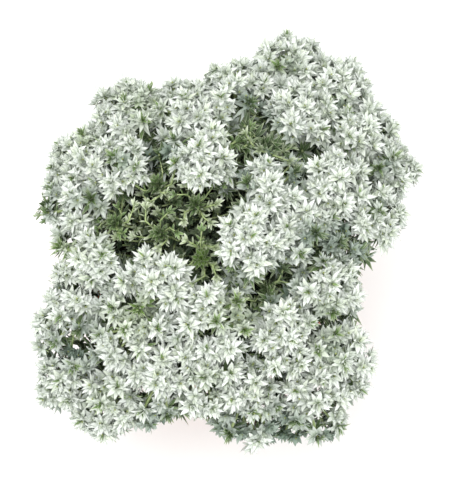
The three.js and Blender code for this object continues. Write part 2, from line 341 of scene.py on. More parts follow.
@dataclass
class Growth:
    """The plan of the whole plant, by the same rules that place the solids.

    Edge, rise and radius are the cushion's dome, and dome and fan are how each spray bulges and spreads.
    Slack, rounds and spacing settle the heads. Gather, arch and turn-in shape the stems. Whorls are given as
    their number, their first and last place on the stem and the lift of their leaves.
    """

    seed: int = 1907
    edge: float = 88.0
    rise: float = 48.0
    radius: float = 86.0
    dome: float = 3.5
    fan: float = 0.55
    slack: float = 1.07
    rounds: int = 12
    spacing: float = 10.5
    gather: float = 0.44
    arch: float = 40.0
    turn_in: float = 8.0
    whorl_radius: float = 12.0
    first_out: float = 0.1
    least_out: float = 0.9
    play: float = 0.2
    turn_play: float = 0.3
    push: float = 0.3
    bob: float = 1.6
    least_head: float = 0.88
    patch_ease: float = 1.35
    patch_shade: float = 0.65
    patch_youth: float = 0.8
    stray_youth: float = 0.35
    # Leaves get painted shade from this depth below the cushion's top, and full shade this much deeper.
    clear_depth: float = 8.0
    full_depth: float = 11.0
    neighbour: float = 2.3
    stem_stop: float = 0.3
    shoot_whorls: tuple[int, float, float, float] = (2, 0.6, 0.93, 0.3)
    leafy_whorls: tuple[int, float, float, float] = (3, 0.55, 0.97, 0.5)
    draw: Draw = field(init=False)
    shoots: list[Plant] = field(init=False)
    leafy: list[Plant] = field(init=False)

    def __post_init__(self) -> None:
        """Lay out every shoot, and note what each head and leaf has to keep clear of."""
        self.draw = Draw(self.seed)
        self.shoots = self._lay_shoots()
        self.leafy = [self._lay_leafy(*row) for row in LEAFY_SHOOTS]
        heads = [head for plant in self.shoots for spray in plant.sprays for head in spray.heads]
        for head in heads:
            for other in heads:
                away = other.centre - head.centre
                if 0 < away.length < self.neighbour * HEAD_RADIUS:
                    head.planes.append((away.normalized(), away.length / 2))

    def height(self, x: float, y: float) -> float:
        """Return the height of the cushion's top over a point in plan."""
        part = math.hypot(x, y) / self.radius
        return self.edge + self.rise * (1 - part * part)

    @staticmethod
    def green(point: Vector) -> tuple[float, float]:
        """Look up the patch of greener growth and painted shade round a point.

        Args:
            point: The point.

        Returns:
            How green the growth is and how deep its painted shade is, both from 0 to 1.
        """
        ease = Growth.patch_ease
        rows = [
            (ease - math.hypot(point.x - x, point.y - y) / radius, shade) for x, y, radius, shade in PATCHES
        ]
        green, shade = max(rows)
        return min(max(green, 0.0), 1.0), shade

    def leaf_tone(self, point: Vector, draw: Draw) -> Tone:
        """Draw the tone of a leaf.

        Args:
            point: Where the leaf is.
            draw: The numbers to draw from.

        Returns:
            The tone.
        """
        green, shade = self.green(point)
        # Painted shade: leaves deep in the cushion, and those in shaded patches, get a darker tone.
        depth = max(self.depth(point), self.patch_shade * green * shade)
        youth = self.stray_youth * draw.next() ** 2 + self.patch_youth * green * (1.0 - shade)
        return draw.next(), depth, min(youth, 1.0)

    def depth(self, point: Vector) -> float:
        """Return how deep in the cushion a point is, from 0 at its top to 1."""
        below = self.height(point.x, point.y) - point.z - self.clear_depth
        return min(max(below / self.full_depth, 0.0), 1.0)

    def normal(self, x: float, y: float) -> Vector:
        """Return the outward direction of the cushion's top over a point in plan."""
        slope = 2 * self.rise / (self.radius * self.radius)
        return Vector((x * slope, y * slope, 1)).normalized()

    def _ring(self, reach: float, count: int) -> list[Vector]:
        """Lay the heads of a spray in a ring round its middle one.

        Args:
            reach: The ring's radius.
            count: How many heads there are.

        Returns:
            Where each head is from the middle, in plan.
        """
        turn = self.draw.next() * math.tau
        ring = []
        for k in range(count):
            out = reach * (self.first_out if k == 0 else self.least_out + self.play * self.draw.next())
            angle = turn + (k + self.turn_play * self.draw.next()) * math.tau / (count - 1)
            ring.append(Vector((math.cos(angle) * out, math.sin(angle) * out)))
        return ring

    def _settle(self, rows: list[list[float]], rings: list[list[Vector]]) -> None:
        """Push heads that crowd each other apart.

        Args:
            rows: The sprays.
            rings: The places of their heads, which are moved.
        """
        spots = [(offset, row) for ring, row in zip(rings, rows) for offset in ring]
        for _ in range(self.rounds):
            places = [Vector((row[0] + offset.x, row[1] + offset.y)) for offset, row in spots]
            for (offset, row), place in zip(spots, places):
                for other in places:
                    away = place - other
                    space = away.length
                    if 0 < space < self.spacing:
                        offset += away * (self.push * (self.spacing - space) / space)
                limit = row[2] * self.slack
                if offset.length > limit:
                    offset *= limit / offset.length

    def _grow(self, row: Sequence[float], ring: list[Vector]) -> Spray:
        """Raise the heads of a spray over the cushion's top.

        Args:
            row: The spray's place, reach and lift.
            ring: Its heads in plan.

        Returns:
            The spray.
        """
        x, y, reach, lift = row[:4]
        normal = self.normal(x, y)
        heads = []
        for offset in ring:
            px, py = x + offset.x, y + offset.y
            out = offset.length / reach
            dome = self.dome * (1 - out * out)
            pz = self.height(px, py) + lift + dome + self.bob * (self.draw.next() - 0.5)
            axis = (normal + Vector((offset.x, offset.y, 0)) * (self.fan / reach)).normalized()
            radius = HEAD_RADIUS * (self.least_head + self.play * self.draw.next())
            self.draw.next()
            heads.append(Head(Vector((px, py, pz)), axis, radius, self.draw.next() * math.tau))
        middle = Vector((x, y, self.height(x, y) + lift + self.dome))
        return Spray(heads, normal, middle - normal * HUB_DEPTH)

    def _root(self, x: float, y: float) -> Vector:
        """Return the foot of a stem in its soil hole, gathered in from its place in plan."""
        rx, ry = x * self.gather, y * self.gather
        return Vector((rx, ry, soil_height(rx, ry) - HOLE_DEPTH + 1))

    def _branch(self, root: Vector, hub: Vector, normal: Vector, stop: float, whorls: list[Whorl]) -> Branch:
        """Bend a stem from its foot up to a hub.

        Args:
            root: The foot.
            hub: Where it leads.
            normal: The outward direction of the cushion there.
            stop: How far it ends from the hub.
            whorls: Its rings of leaves.

        Returns:
            The stem.
        """
        end = hub - normal * stop
        ends = (root, root + Vector((0, 0, self.arch)), end - normal * self.turn_in, end)
        return Branch(ends, whorls, self.draw.next() * math.pi)

    def _whorls(self, count: int, first: float, last: float, lift: float) -> list[Whorl]:
        """Space the rings of leaves along a stem.

        Args:
            count: How many there are.
            first: The share of the length at the lowest one.
            last: The share at the highest one.
            lift: How steeply their leaves rise.

        Returns:
            The rings, from the lowest up.
        """
        step = (last - first) / (count - 1)
        return [
            Whorl(first + step * k, self.whorl_radius * (self.least_out + self.play * self.draw.next()), lift)
            for k in range(count)
        ]

    def _lay_shoots(self) -> list[Plant]:
        """Lay out the stems with their sprays.

        Returns:
            One plant for each stem.
        """
        rows = [row for own in SHOOTS for row in own]
        rings = [self._ring(row[2], row[4]) for row in rows]
        self._settle(rows, rings)
        left = iter(rings)
        plants = []
        for own in SHOOTS:
            sprays = [self._grow(row, next(left)) for row in own]
            x = sum(row[0] for row in own) / len(own)
            y = sum(row[1] for row in own) / len(own)
            root = self._root(x, y)
            branches = [
                self._branch(root, spray.hub, spray.normal, self.stem_stop, self._whorls(*self.shoot_whorls))
                for spray in sprays
            ]
            plants.append(Plant(branches, sprays))
        return plants

    def _lay_leafy(self, x: float, y: float, drop: float) -> Plant:
        """Lay out a shoot without flowers.

        Args:
            x: Its plan x.
            y: Its plan y.
            drop: How far it ends below the cushion's top.

        Returns:
            The shoot.
        """
        root = self._root(x, y)
        tip = Vector((x, y, self.height(x, y) - drop))
        branch = self._branch(root, tip, self.normal(x, y), 0.0, self._whorls(*self.leafy_whorls))
        return Plant([branch], [])


def soil_height(x: float, y: float) -> float:
    """Return the height of the soil over a point in plan."""
    part = math.hypot(x, y) / SOIL_RADIUS
    return SOIL_TOP + SOIL_CROWN * (1 - part * part)


def in_clay(point: Vector) -> bool:
    """Return whether a point is in the pot's rim or just over it."""
    return point.z < POT_HEIGHT + RIM_EASE and POT_INNER_RADIUS < point.xy.length < POT_RIM_RADIUS + RIM_EASE


def ray(side: Vector, front: Vector, turn: float) -> Vector:
    """Return the direction at a turn from one direction towards another."""
    return side * math.cos(turn) + front * math.sin(turn)


def across(along: Vector) -> tuple[Vector, Vector]:
    """Return two level directions across a stem that point the same way on every stem."""
    side = Vector((0, 1, 0)).cross(along).normalized()
    return side, along.cross(side)


def draw_in(point: Vector, origin: Vector, planes: Iterable[tuple[Vector, float]], ease: float) -> Vector:
    """Draw a point in towards its origin until it is on the near side of every plane.

    Args:
        point: The point.
        origin: Where it is drawn to.
        planes: Direction and distance of each plane from the origin.
        ease: How far past a plane the point may go.

    Returns:
        The point's new place.
    """
    arm = point - origin
    scale = 1.0
    for away, half in planes:
        reach = arm.dot(away)
        if reach * scale > half + ease:
            scale = (half + ease) / reach
    return origin + arm * scale


@dataclass
class Clearance:
    """What one plant's leaves keep clear of: other stems' points, and balls round heads, hubs and stalks."""

    points: list[Vector]
    balls: list[tuple[Vector, float]]
    ease: float = 0.4
    stalk: float = 1.6
    half_leaf: float = 0.25
    pot_ease: float = 0.6
    samples: int = 30
    whorl_reach: float = 2.2
    ball_reach: float = 1.2
    shortest: float = 0.25
    step: float = 0.05
    parts: tuple[float, ...] = (1.0, 0.7, 0.4)

    @classmethod
    def around(cls, own: Plant, growth: Growth) -> Clearance:
        """Gather the stems, heads and stalks round a plant.

        Args:
            own: The plant.
            growth: The plan of them all.

        Returns:
            The points and balls to keep clear of.
        """
        points = []
        for plant in growth.shoots + growth.leafy:
            if plant is not own:
                for branch in plant.branches:
                    points += [branch.point(k / cls.samples) for k in range(cls.samples + 1)]
                    points += [branch.point(whorl.at) for whorl in branch.whorls]
        balls = []
        for plant in growth.shoots:
            for spray in plant.sprays:
                balls.append((spray.hub, HUB_RADIUS + cls.ease))
                for head in spray.heads:
                    balls.append((head.centre, head.radius + cls.ease))
                    balls += [(spray.hub.lerp(head.centre, part), cls.stalk) for part in (0.2, 0.4, 0.6)]
        return cls(points, balls)

    def tips(self, branch: Branch, whorl: Whorl) -> list[Vector]:
        """Return where the leaves of a whorl end.

        Args:
            branch: The stem that the whorl is on.
            whorl: The whorl.

        Returns:
            One tip for each leaf.
        """
        centre = branch.point(whorl.at)
        along = branch.along(whorl.at)
        side, front = across(along)
        planes = []
        for other in self.points:
            away = other - centre
            if away.length < self.whorl_reach * whorl.radius:
                planes.append((away.normalized(), away.length / 2 - self.half_leaf))
        reach = self.ball_reach * whorl.radius
        balls = [(spot, size) for spot, size in self.balls if (spot - centre).length < size + reach]
        tips = []
        for k in range(whorl.leaves):
            angle = branch.turn + k * math.tau / whorl.leaves
            out = ray(side, front, angle) + along * whorl.lift
            tip = draw_in(centre + out * whorl.radius, centre, planes, 0.0)
            tips.append(self._shorten(tip, centre, balls))
        return tips

    def _shorten(self, tip: Vector, centre: Vector, balls: list[tuple[Vector, float]]) -> Vector:
        """Shorten a leaf until it is clear of the balls and the pot.

        Args:
            tip: Where it would end.
            centre: Where it starts.
            balls: Centre and radius of each ball.

        Returns:
            Where it ends.
        """
        arm = tip - centre

        def clear(part: float) -> bool:
            """Tell whether a point of the leaf is clear.

            Args:
                part: The point's share of the way to the tip.

            Returns:
                Whether nothing is in its place.
            """
            spot = centre + arm * part
            rim = POT_RIM_RADIUS + self.pot_ease
            above = spot.z > POT_HEIGHT + self.pot_ease or math.hypot(spot.x, spot.y) > rim
            return above and all((middle - spot).length > radius for middle, radius in balls)

        scale = 1.0
        while scale > self.shortest and not all(clear(scale * part) for part in self.parts):
            scale -= self.step
        return centre + arm * scale


@dataclass(frozen=True)
class Blade:
    """A thin closed pointed blade, such as a bract or a leaf, one long and one wide.

    It lies along +Y from the origin with its upper face to +Z. Each row is a share of the length and of the
    width. Fold, curl and thickness are shares of the width, and points nearer than the weld are joined.
    """

    rows: tuple[tuple[float, float], ...]
    fold: float
    curl: float
    thickness: float = 0.07
    weld: float = 0.03

    def make(self, name: str) -> Shape:
        """Make the blade, with its length and width as UV.

        Args:
            name: The shape's name.

        Returns:
            The shape.
        """
        bm = bmesh.new()
        uv = bm.loops.layers.uv.new("blade")
        last = len(self.rows) - 1
        bmesh.ops.create_grid(bm, x_segments=2, y_segments=last, size=0.5)
        for face in bm.faces:
            for loop in face.loops:
                loop[uv].uv = (loop.vert.co.y + 0.5, loop.vert.co.x + 0.5)
        for vert in bm.verts:
            t, width = self.rows[round((vert.co.y + 0.5) * last)]
            rise = self.fold * abs(vert.co.x) * 2 * width + self.curl * t * t
            vert.co = Vector((vert.co.x * width, t, rise))
        middle = [vert for vert in bm.verts if not vert.is_boundary]
        copy = bmesh.ops.duplicate(bm, geom=list(bm.faces))
        for vert in middle:
            copy["vert_map"][vert].co.z -= self.thickness
        lower = [item for item in copy["geom"] if isinstance(item, bmesh.types.BMFace)]
        bmesh.ops.reverse_faces(bm, faces=lower)
        for edge in bm.edges:
            edge.smooth = not edge.is_boundary
        bmesh.ops.remove_doubles(bm, verts=list(bm.verts), dist=self.weld)
        bmesh.ops.recalc_face_normals(bm, faces=list(bm.faces))
        return Shape(name, bm)


class Shape:
    """A small closed shape that is made once and placed many times."""

    def __init__(self, name: str, bm: bmesh.types.BMesh) -> None:
        """Keep the shape as a mesh and as a table of points.

        Args:
            name: Its name.
            bm: Its geometry, which is freed.
        """
        for face in bm.faces:
            face.smooth = True
        self.mesh = bpy.data.meshes.new(name)
        bm.to_mesh(self.mesh)
        bm.free()
        self.tone = self.mesh.attributes.new("tone", "FLOAT_COLOR", "POINT").name
        self.points = np.empty(len(self.mesh.vertices) * 3)
        self.mesh.vertices.foreach_get("co", self.points)
        self.points = self.points.reshape(-1, 3)
        self.sides = len(self.mesh.polygons)

    @classmethod
    def rod(cls, name: str, sides: int, taper: float) -> Shape:
        """Make a stalk one long and one in radius, along +Y.

        Args:
            name: The shape's name.
            sides: How many sides it has.
            taper: The radius at its far end.

        Returns:
            The shape.
        """
        bm = bmesh.new()
        turn = Matrix.Translation((0, 0.5, 0)) @ Matrix.Rotation(-math.pi / 2, 4, "X")
        bmesh.ops.create_cone(
            bm, cap_ends=True, segments=sides, radius1=1.0, radius2=taper, depth=1.0, matrix=turn
        )
        return cls(name, bm)

    @classmethod
    def bud(cls, name: str) -> Shape:
        """Make a small round bud of radius one.

        Args:
            name: The shape's name.

        Returns:
            The shape.
        """
        bm = bmesh.new()
        bmesh.ops.create_icosphere(bm, subdivisions=1, radius=1.0)
        return cls(name, bm)


class Work:
    """A mesh in the making, in millimetres, with a tone kept on every vertex."""

    def __init__(self) -> None:
        """Start an empty mesh."""
        self.bm = bmesh.new()
        self.bm.loops.layers.uv.new("blade")
        self.bm.verts.layers.float_color.new("tone")

    def add(self, shape: Shape, place: Matrix, tone: Tone, slot: int) -> None:
        """Add a copy of a shape.

        Args:
            shape: The shape.
            place: Where it goes.
            tone: Its light, its shadow and its youth, each from 0 to 1.
            slot: Its material.
        """
        grid = np.array(place)
        points = shape.points @ grid[:3, :3].T + grid[:3, 3]
        shape.mesh.vertices.foreach_set("co", points.ravel())
        shape.mesh.attributes[shape.tone].data.foreach_set("color", np.tile((*tone, 1.0), len(points)))
        shape.mesh.polygons.foreach_set("material_index", np.full(shape.sides, slot))
        self.bm.from_mesh(shape.mesh)

    def aim(
        self, shape: Shape, root: Vector, along: Vector, up: Vector, size: Vector, tone: Tone, slot: int
    ) -> None:
        """Add a copy of a shape that points a given way.

        Args:
            shape: The shape.
            root: Where it starts.
            along: The way it points.
            up: The way its upper face looks, roughly.
            size: Its width, length and height.
            tone: Its tone.
            slot: Its material.
        """
        y = along.normalized()
        x = y.cross(up).normalized()
        z = x.cross(y)
        place = Matrix((x * size.x, y * size.y, z * size.z)).transposed().to_4x4()
        place.translation = root
        self.add(shape, place, tone, slot)

    def tube(self, points: list[Vector], radii: Sequence[float], slot: int, sides: int = 7) -> None:
        """Add a bent round stem through a row of points.

        Args:
            points: The points.
            radii: The stem's radius at each point.
            slot: Its material.
            sides: How many sides the stem has.
        """
        bm = bmesh.new()
        loops = []
        for n, (point, radius) in enumerate(zip(points, radii)):
            arm = points[min(n + 1, len(points) - 1)] - points[max(n - 1, 0)]
            turn = Vector((0, 0, 1)).rotation_difference(arm.normalized()).to_matrix().to_4x4()
            turn.translation = point
            made = bmesh.ops.create_circle(bm, cap_ends=False, segments=sides, radius=radius, matrix=turn)
            loops.append(list({edge for vert in made["verts"] for edge in vert.link_edges}))
        for low, high in zip(loops, loops[1:]):
            bmesh.ops.bridge_loops(bm, edges=low + high)
        for loop in (loops[0], loops[-1]):
            bmesh.ops.contextual_create(bm, geom=loop)
        bmesh.ops.recalc_face_normals(bm, faces=list(bm.faces))
        shape = Shape("stem_shape", bm)
        self.add(shape, Matrix.Identity(4), (0.5, 0.0, 0.0), slot)
        bpy.data.meshes.remove(shape.mesh)

    def finish(
        self, name: str, materials: list[bpy.types.Material], box: tuple[Vector, Vector]
    ) -> bpy.types.Object:
        """Turn the work into a piece in metres that stays in the object's box.

        Args:
            name: The piece's name.
            materials: Its materials, in the order of their slots.
            box: The object's lowest and highest corner, in metres.

        Returns:
            The new piece.
        """
        bmesh.ops.scale(self.bm, vec=(MM, MM, MM), verts=list(self.bm.verts))
        low, high = box
        for vert in self.bm.verts:
            vert.co = Vector([min(max(vert.co[i], low[i]), high[i]) for i in range(3)])
        return make_object(name, self.bm, *materials)


def make_object(name: str, bm: bmesh.types.BMesh, *materials: bpy.types.Material) -> bpy.types.Object:
    """Make an object of the scene.

    Args:
        name: Its name.
        bm: Its geometry, which is freed.
        materials: Its materials, in the order of their slots.

    Returns:
        The object.
    """
    mesh = bpy.data.meshes.new(name)
    bm.to_mesh(mesh)
    bm.free()
    for material in materials:
        mesh.materials.append(material)
    made = bpy.data.objects.new(name, mesh)
    bpy.context.scene.collection.objects.link(made)
    return made


def settle(piece: bpy.types.Object, slot: Slot, node: str) -> None:
    """Tie a piece to the object's body and hide the solid that it stands for.

    Args:
        piece: The piece.
        slot: A material slot; not used.
        node: The solid.
    """
    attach(piece, "root")
    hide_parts(node)
    triangles = sum(len(face.vertices) - 2 for face in piece.data.polygons)
    LOG.info("%s: %d triangles for %s", piece.name, triangles, node)


def spun(section: Iterable[tuple[float, float]], steps: int) -> bmesh.types.BMesh:
    """Spin a section about the upright axis.

    Args:
        section: Radius and height of its points, from the axis below to the axis above.
        steps: How many steps the turn has.

    Returns:
        The smooth closed body.
    """
    bm = bmesh.new()
    verts = [bm.verts.new((radius, 0.0, z)) for radius, z in section]
    for low, high in zip(verts, verts[1:]):
        bm.edges.new((low, high))
    line = list(bm.verts) + list(bm.edges)
    bmesh.ops.spin(bm, geom=line, axis=(0, 0, 1), cent=(0, 0, 0), angle=math.tau, steps=steps, use_merge=True)
    bmesh.ops.remove_doubles(bm, verts=list(bm.verts), dist=WELD)
    bmesh.ops.recalc_face_normals(bm, faces=list(bm.faces))
    for face in bm.faces:
        face.smooth = True
    return bm


class Nodes:
    """Short calls for laying out a material's nodes."""

    def __init__(self, tree: bpy.types.NodeTree) -> None:
        """Work on a node tree."""
        self.tree = tree

    def add(self, kind: str, **values: object) -> bpy.types.Node:
        """Add a node.

        Args:
            kind: Its type.
            values: Its own values by name.

        Returns:
            The node.
        """
        node = self.tree.nodes.new(kind)
        for key, value in values.items():
            setattr(node, key, value)
        return node

    def feed(self, target: Socket, source: object) -> None:
        """Link a socket to a source, or set it to a value.

        Args:
            target: The socket.
            source: Another socket or a value.
        """
        if isinstance(source, bpy.types.NodeSocket):
            self.tree.links.new(target, source)
        else:
            target.default_value = source

    def math(self, operation: str, a: object, b: object = 0.0) -> Socket:
        """Work out a sum.

        Args:
            operation: The kind of sum.
            a: The first value.
            b: The second value, for the sums that take one.

        Returns:
            The result.
        """
        node = self.add("ShaderNodeMath", operation=operation)
        self.feed(node.inputs[0], a)
        self.feed(node.inputs[1], b)
        return node.outputs[0]

    def mix(self, factor: object, a: object, b: object) -> Socket:
        """Blend two colours.

        Args:
            factor: The share of the second one.
            a: The first colour.
            b: The second colour.

        Returns:
            The blend.
        """
        node = self.add("ShaderNodeMix", data_type="RGBA")
        self.feed(node.inputs[0], factor)
        self.feed(node.inputs[6], a)
        self.feed(node.inputs[7], b)
        return node.outputs[2]

    def span(
        self, value: object, low: float, high: float, to_low: float = 0.0, to_high: float = 1.0
    ) -> Socket:
        """Move a value from one range to another, without leaving it.

        Args:
            value: The value.
            low: Where the first range starts.
            high: Where it ends.
            to_low: Where the second range starts.
            to_high: Where it ends.

        Returns:
            The moved value.
        """
        node = self.add("ShaderNodeMapRange", clamp=True)
        for socket, source in zip(node.inputs[:5], (value, low, high, to_low, to_high)):
            self.feed(socket, source)
        return node.outputs[0]

    def noise(self, scale: float, detail: float = 3.0, vector: object = None) -> Socket:
        """Lay smooth noise over the piece.

        Args:
            scale: How fine it is.
            detail: How many finer layers it has.
            vector: The coordinates, if not the object's.

        Returns:
            The noise, about 0.5.
        """
        node = self.add("ShaderNodeTexNoise")
        node.inputs["Scale"].default_value = scale
        node.inputs["Detail"].default_value = detail
        self.feed(node.inputs["Vector"], vector if vector is not None else self.place())
        return node.outputs["Fac"]

    def place(self) -> Socket:
        """Return the object coordinates."""
        return self.add("ShaderNodeTexCoord").outputs["Object"]

    def scaled(self, colour: object, factor: object) -> Socket:
        """Make a colour lighter or darker.

        Args:
            colour: The colour.
            factor: How many times as light it becomes.

        Returns:
            The new colour.
        """
        node = self.add("ShaderNodeVectorMath", operation="SCALE")
        self.feed(node.inputs[0], colour)
        self.feed(node.inputs["Scale"], factor)
        return node.outputs[0]

    def bump(self, height: object, strength: float, distance: float) -> Socket:
        """Make small relief.

        Args:
            height: The height over the surface.
            strength: How strong it is.
            distance: How high it is at most, in metres.

        Returns:
            The normal.
        """
        node = self.add("ShaderNodeBump")
        node.inputs["Strength"].default_value = strength
        node.inputs["Distance"].default_value = distance
        self.feed(node.inputs["Height"], height)
        return node.outputs["Normal"]


def shade(red: float, green: float, blue: float) -> Colour:
    """Turn a display colour into a linear one.

    Args:
        red: Its red part, from 0 to 255.
        green: Its green part.
        blue: Its blue part.

    Returns:
        The linear colour with full alpha.
    """

    def linear(part: float) -> float:
        """Return the linear value of one part."""
        value = part / 255
        return value / 12.92 if value <= 0.04045 else ((value + 0.055) / 1.055) ** 2.4

    return (linear(red), linear(green), linear(blue), 1.0)


def start_material(name: str) -> tuple[bpy.types.Material, Nodes, bpy.types.Node]:
    """Start a material.

    Args:
        name: Its name.

    Returns:
        The material, its node calls and its surface shader.
    """
    material = bpy.data.materials.new(name)
    material.use_nodes = True
    material.node_tree.nodes.clear()
    nodes = Nodes(material.node_tree)
    surface = nodes.add("ShaderNodeBsdfPrincipled")
    output = nodes.add("ShaderNodeOutputMaterial")
    material.node_tree.links.new(output.inputs["Surface"], surface.outputs[0])
    return material, nodes, surface


def mottle_group() -> bpy.types.NodeTree:
    """Make the shared effect that breaks a colour up into lighter and darker patches, or find it again.

    Returns:
        The node group.
    """
    found = bpy.data.node_groups.get("mottle")
    if found is not None:
        return found
    group = bpy.data.node_groups.new("mottle", "ShaderNodeTree")
    face = group.interface
    face.new_socket("Color", in_out="INPUT", socket_type="NodeSocketColor")
    for name in ("Scale", "Amount"):
        face.new_socket(name, in_out="INPUT", socket_type="NodeSocketFloat")
    face.new_socket("Color", in_out="OUTPUT", socket_type="NodeSocketColor")
    nodes = Nodes(group)
    entry = nodes.add("NodeGroupInput")
    leave = nodes.add("NodeGroupOutput")
    noise = nodes.add("ShaderNodeTexNoise")
    noise.inputs["Detail"].default_value = 4.0
    nodes.feed(noise.inputs["Vector"], nodes.place())
    nodes.feed(noise.inputs["Scale"], entry.outputs["Scale"])
    swing = nodes.math("SUBTRACT", nodes.span(noise.outputs["Fac"], 0.3, 0.7), 0.5)
    lift = nodes.math("ADD", 1.0, nodes.math("MULTIPLY", swing, entry.outputs["Amount"]))
    nodes.feed(leave.inputs["Color"], nodes.scaled(entry.outputs["Color"], lift))
    return group


def mottled(nodes: Nodes, colour: object, scale: float, amount: float) -> Socket:
    """Lay the shared patches over a colour.

    Args:
        nodes: The material's node calls.
        colour: The colour.
        scale: How fine the patches are.
        amount: How far apart their light and dark are.

    Returns:
        The broken-up colour.
    """
    node = nodes.add("ShaderNodeGroup", node_tree=mottle_group())
    nodes.feed(node.inputs["Color"], colour)
    node.inputs["Scale"].default_value = scale
    node.inputs["Amount"].default_value = amount
    return node.outputs["Color"]


@dataclass(frozen=True)
class BladeFinish:
    """The finish of bracts and leaves: a base, a body, a tip, a rim and a midrib in their own colours.

    Inner is the colour of young blades and shadow that of deep ones. Places are shares of the blade's
    length and width.
    """

    name: str
    base: Colour
    body: Colour
    tip: Colour
    rim: Colour
    rib: Colour
    inner: Colour
    shadow: Colour
    shade_strength: float
    rim_strength: float
    rib_strength: float
    dullest: float
    roughness: float
    lightest: float = 1.02
    base_end: float = 0.45
    tip_start: float = 0.6
    youth_strength: float = 0.8
    rib_width: float = 0.06
    vein_turns: float = 40.0
    vein_width: float = 0.25
    vein_share: float = 0.4
    rim_band: Range = (0.4, 0.48)
    tip_rim: float = 0.1
    rim_in_shade: float = 0.35

    def build(self) -> bpy.types.Material:
        """Make the material.

        Returns:
            The material.
        """
        material, nodes, surface = start_material(self.name)
        uv = nodes.add("ShaderNodeUVMap", uv_map="blade").outputs[0]
        parts = nodes.add("ShaderNodeSeparateXYZ")
        nodes.feed(parts.inputs[0], uv)
        along, sideways = parts.outputs[0], parts.outputs[1]
        tone = nodes.add("ShaderNodeSeparateColor")
        nodes.feed(tone.inputs[0], nodes.add("ShaderNodeAttribute", attribute_name="tone").outputs["Color"])
        colour = nodes.mix(nodes.span(along, 0.0, self.base_end), self.base, self.body)
        colour = nodes.mix(nodes.span(along, self.tip_start, 1.0), colour, self.tip)
        colour = nodes.mix(nodes.math("MULTIPLY", tone.outputs[2], self.youth_strength), colour, self.inner)
        # Painted shade: the tone's shadow darkens the colour towards the shadow colour.
        colour = nodes.mix(nodes.math("MULTIPLY", tone.outputs[1], self.shade_strength), colour, self.shadow)
        off = nodes.math("ABSOLUTE", nodes.math("SUBTRACT", sideways, 0.5))
        colour = nodes.mix(nodes.span(off, 0.0, self.rib_width, self.rib_strength, 0.0), colour, self.rib)
        veins = nodes.math("ABSOLUTE", nodes.math("SINE", nodes.math("MULTIPLY", off, self.vein_turns)))
        drawn = nodes.span(veins, 0.0, self.vein_width, self.rib_strength * self.vein_share, 0.0)
        colour = nodes.mix(drawn, colour, self.rib)
        edge = nodes.math("ADD", off, nodes.math("MULTIPLY", along, self.tip_rim))
        rim = nodes.span(edge, *self.rim_band, 0.0, self.rim_strength)
        lit = nodes.span(tone.outputs[1], 0.0, 1.0, 1.0, self.rim_in_shade)
        colour = nodes.mix(nodes.math("MULTIPLY", rim, lit), colour, self.rim)
        light = nodes.span(tone.outputs[0], 0.0, 1.0, self.dullest, self.lightest)
        nodes.feed(surface.inputs["Base Color"], mottled(nodes, nodes.scaled(colour, light), 900.0, 0.12))
        surface.inputs["Roughness"].default_value = self.roughness
        nodes.feed(surface.inputs["Normal"], nodes.bump(veins, 0.25, 0.0001))
        return material


@dataclass(frozen=True)
class StemFinish:
    """The finish of stems, stalks and buds."""

    name: str
    colour: Colour
    shadow: Colour
    roughness: float = 0.6

    def build(self) -> bpy.types.Material:
        """Make the material.

        Returns:
            The material.
        """
        material, nodes, surface = start_material(self.name)
        colour = nodes.mix(nodes.span(nodes.noise(350.0), 0.35, 0.65), self.colour, self.shadow)
        nodes.feed(surface.inputs["Base Color"], mottled(nodes, colour, 1500.0, 0.25))
        surface.inputs["Roughness"].default_value = self.roughness
        nodes.feed(surface.inputs["Normal"], nodes.bump(nodes.noise(2500.0), 0.3, 0.0002))
        return material


@dataclass(frozen=True)
class ClayFinish:
    """The finish of the unglazed pot, with a pale bloom of lime and damp darker patches."""

    name: str = "fired_clay"
    colour: Colour = shade(186, 112, 76)
    dark: Colour = shade(150, 84, 55)
    bloom: Colour = shade(214, 178, 152)

    def build(self) -> bpy.types.Material:
        """Make the material.

        Returns:
            The material.
        """
        material, nodes, surface = start_material(self.name)
        colour = nodes.mix(nodes.span(nodes.noise(28.0, 5.0), 0.35, 0.68), self.colour, self.dark)
        stretched = nodes.add("ShaderNodeMapping")
        stretched.inputs["Scale"].default_value = (1.0, 1.0, 0.35)
        nodes.feed(stretched.inputs["Vector"], nodes.place())
        streaks = nodes.noise(60.0, 6.0, stretched.outputs[0])
        colour = nodes.mix(nodes.span(streaks, 0.52, 0.72, 0.0, 0.6), colour, self.bloom)
        nodes.feed(surface.inputs["Base Color"], mottled(nodes, colour, 700.0, 0.22))
        nodes.feed(surface.inputs["Roughness"], nodes.span(streaks, 0.4, 0.7, 0.8, 0.95))
        rings = nodes.add("ShaderNodeTexWave", bands_direction="Z")
        rings.inputs["Scale"].default_value = 120.0
        rings.inputs["Distortion"].default_value = 2.5
        nodes.feed(rings.inputs["Vector"], nodes.place())
        turned = nodes.math("MULTIPLY", rings.outputs["Fac"], 0.35)
        relief = nodes.math("ADD", nodes.noise(900.0, 6.0), turned)
        nodes.feed(surface.inputs["Normal"], nodes.bump(relief, 0.45, 0.0004))
        return material


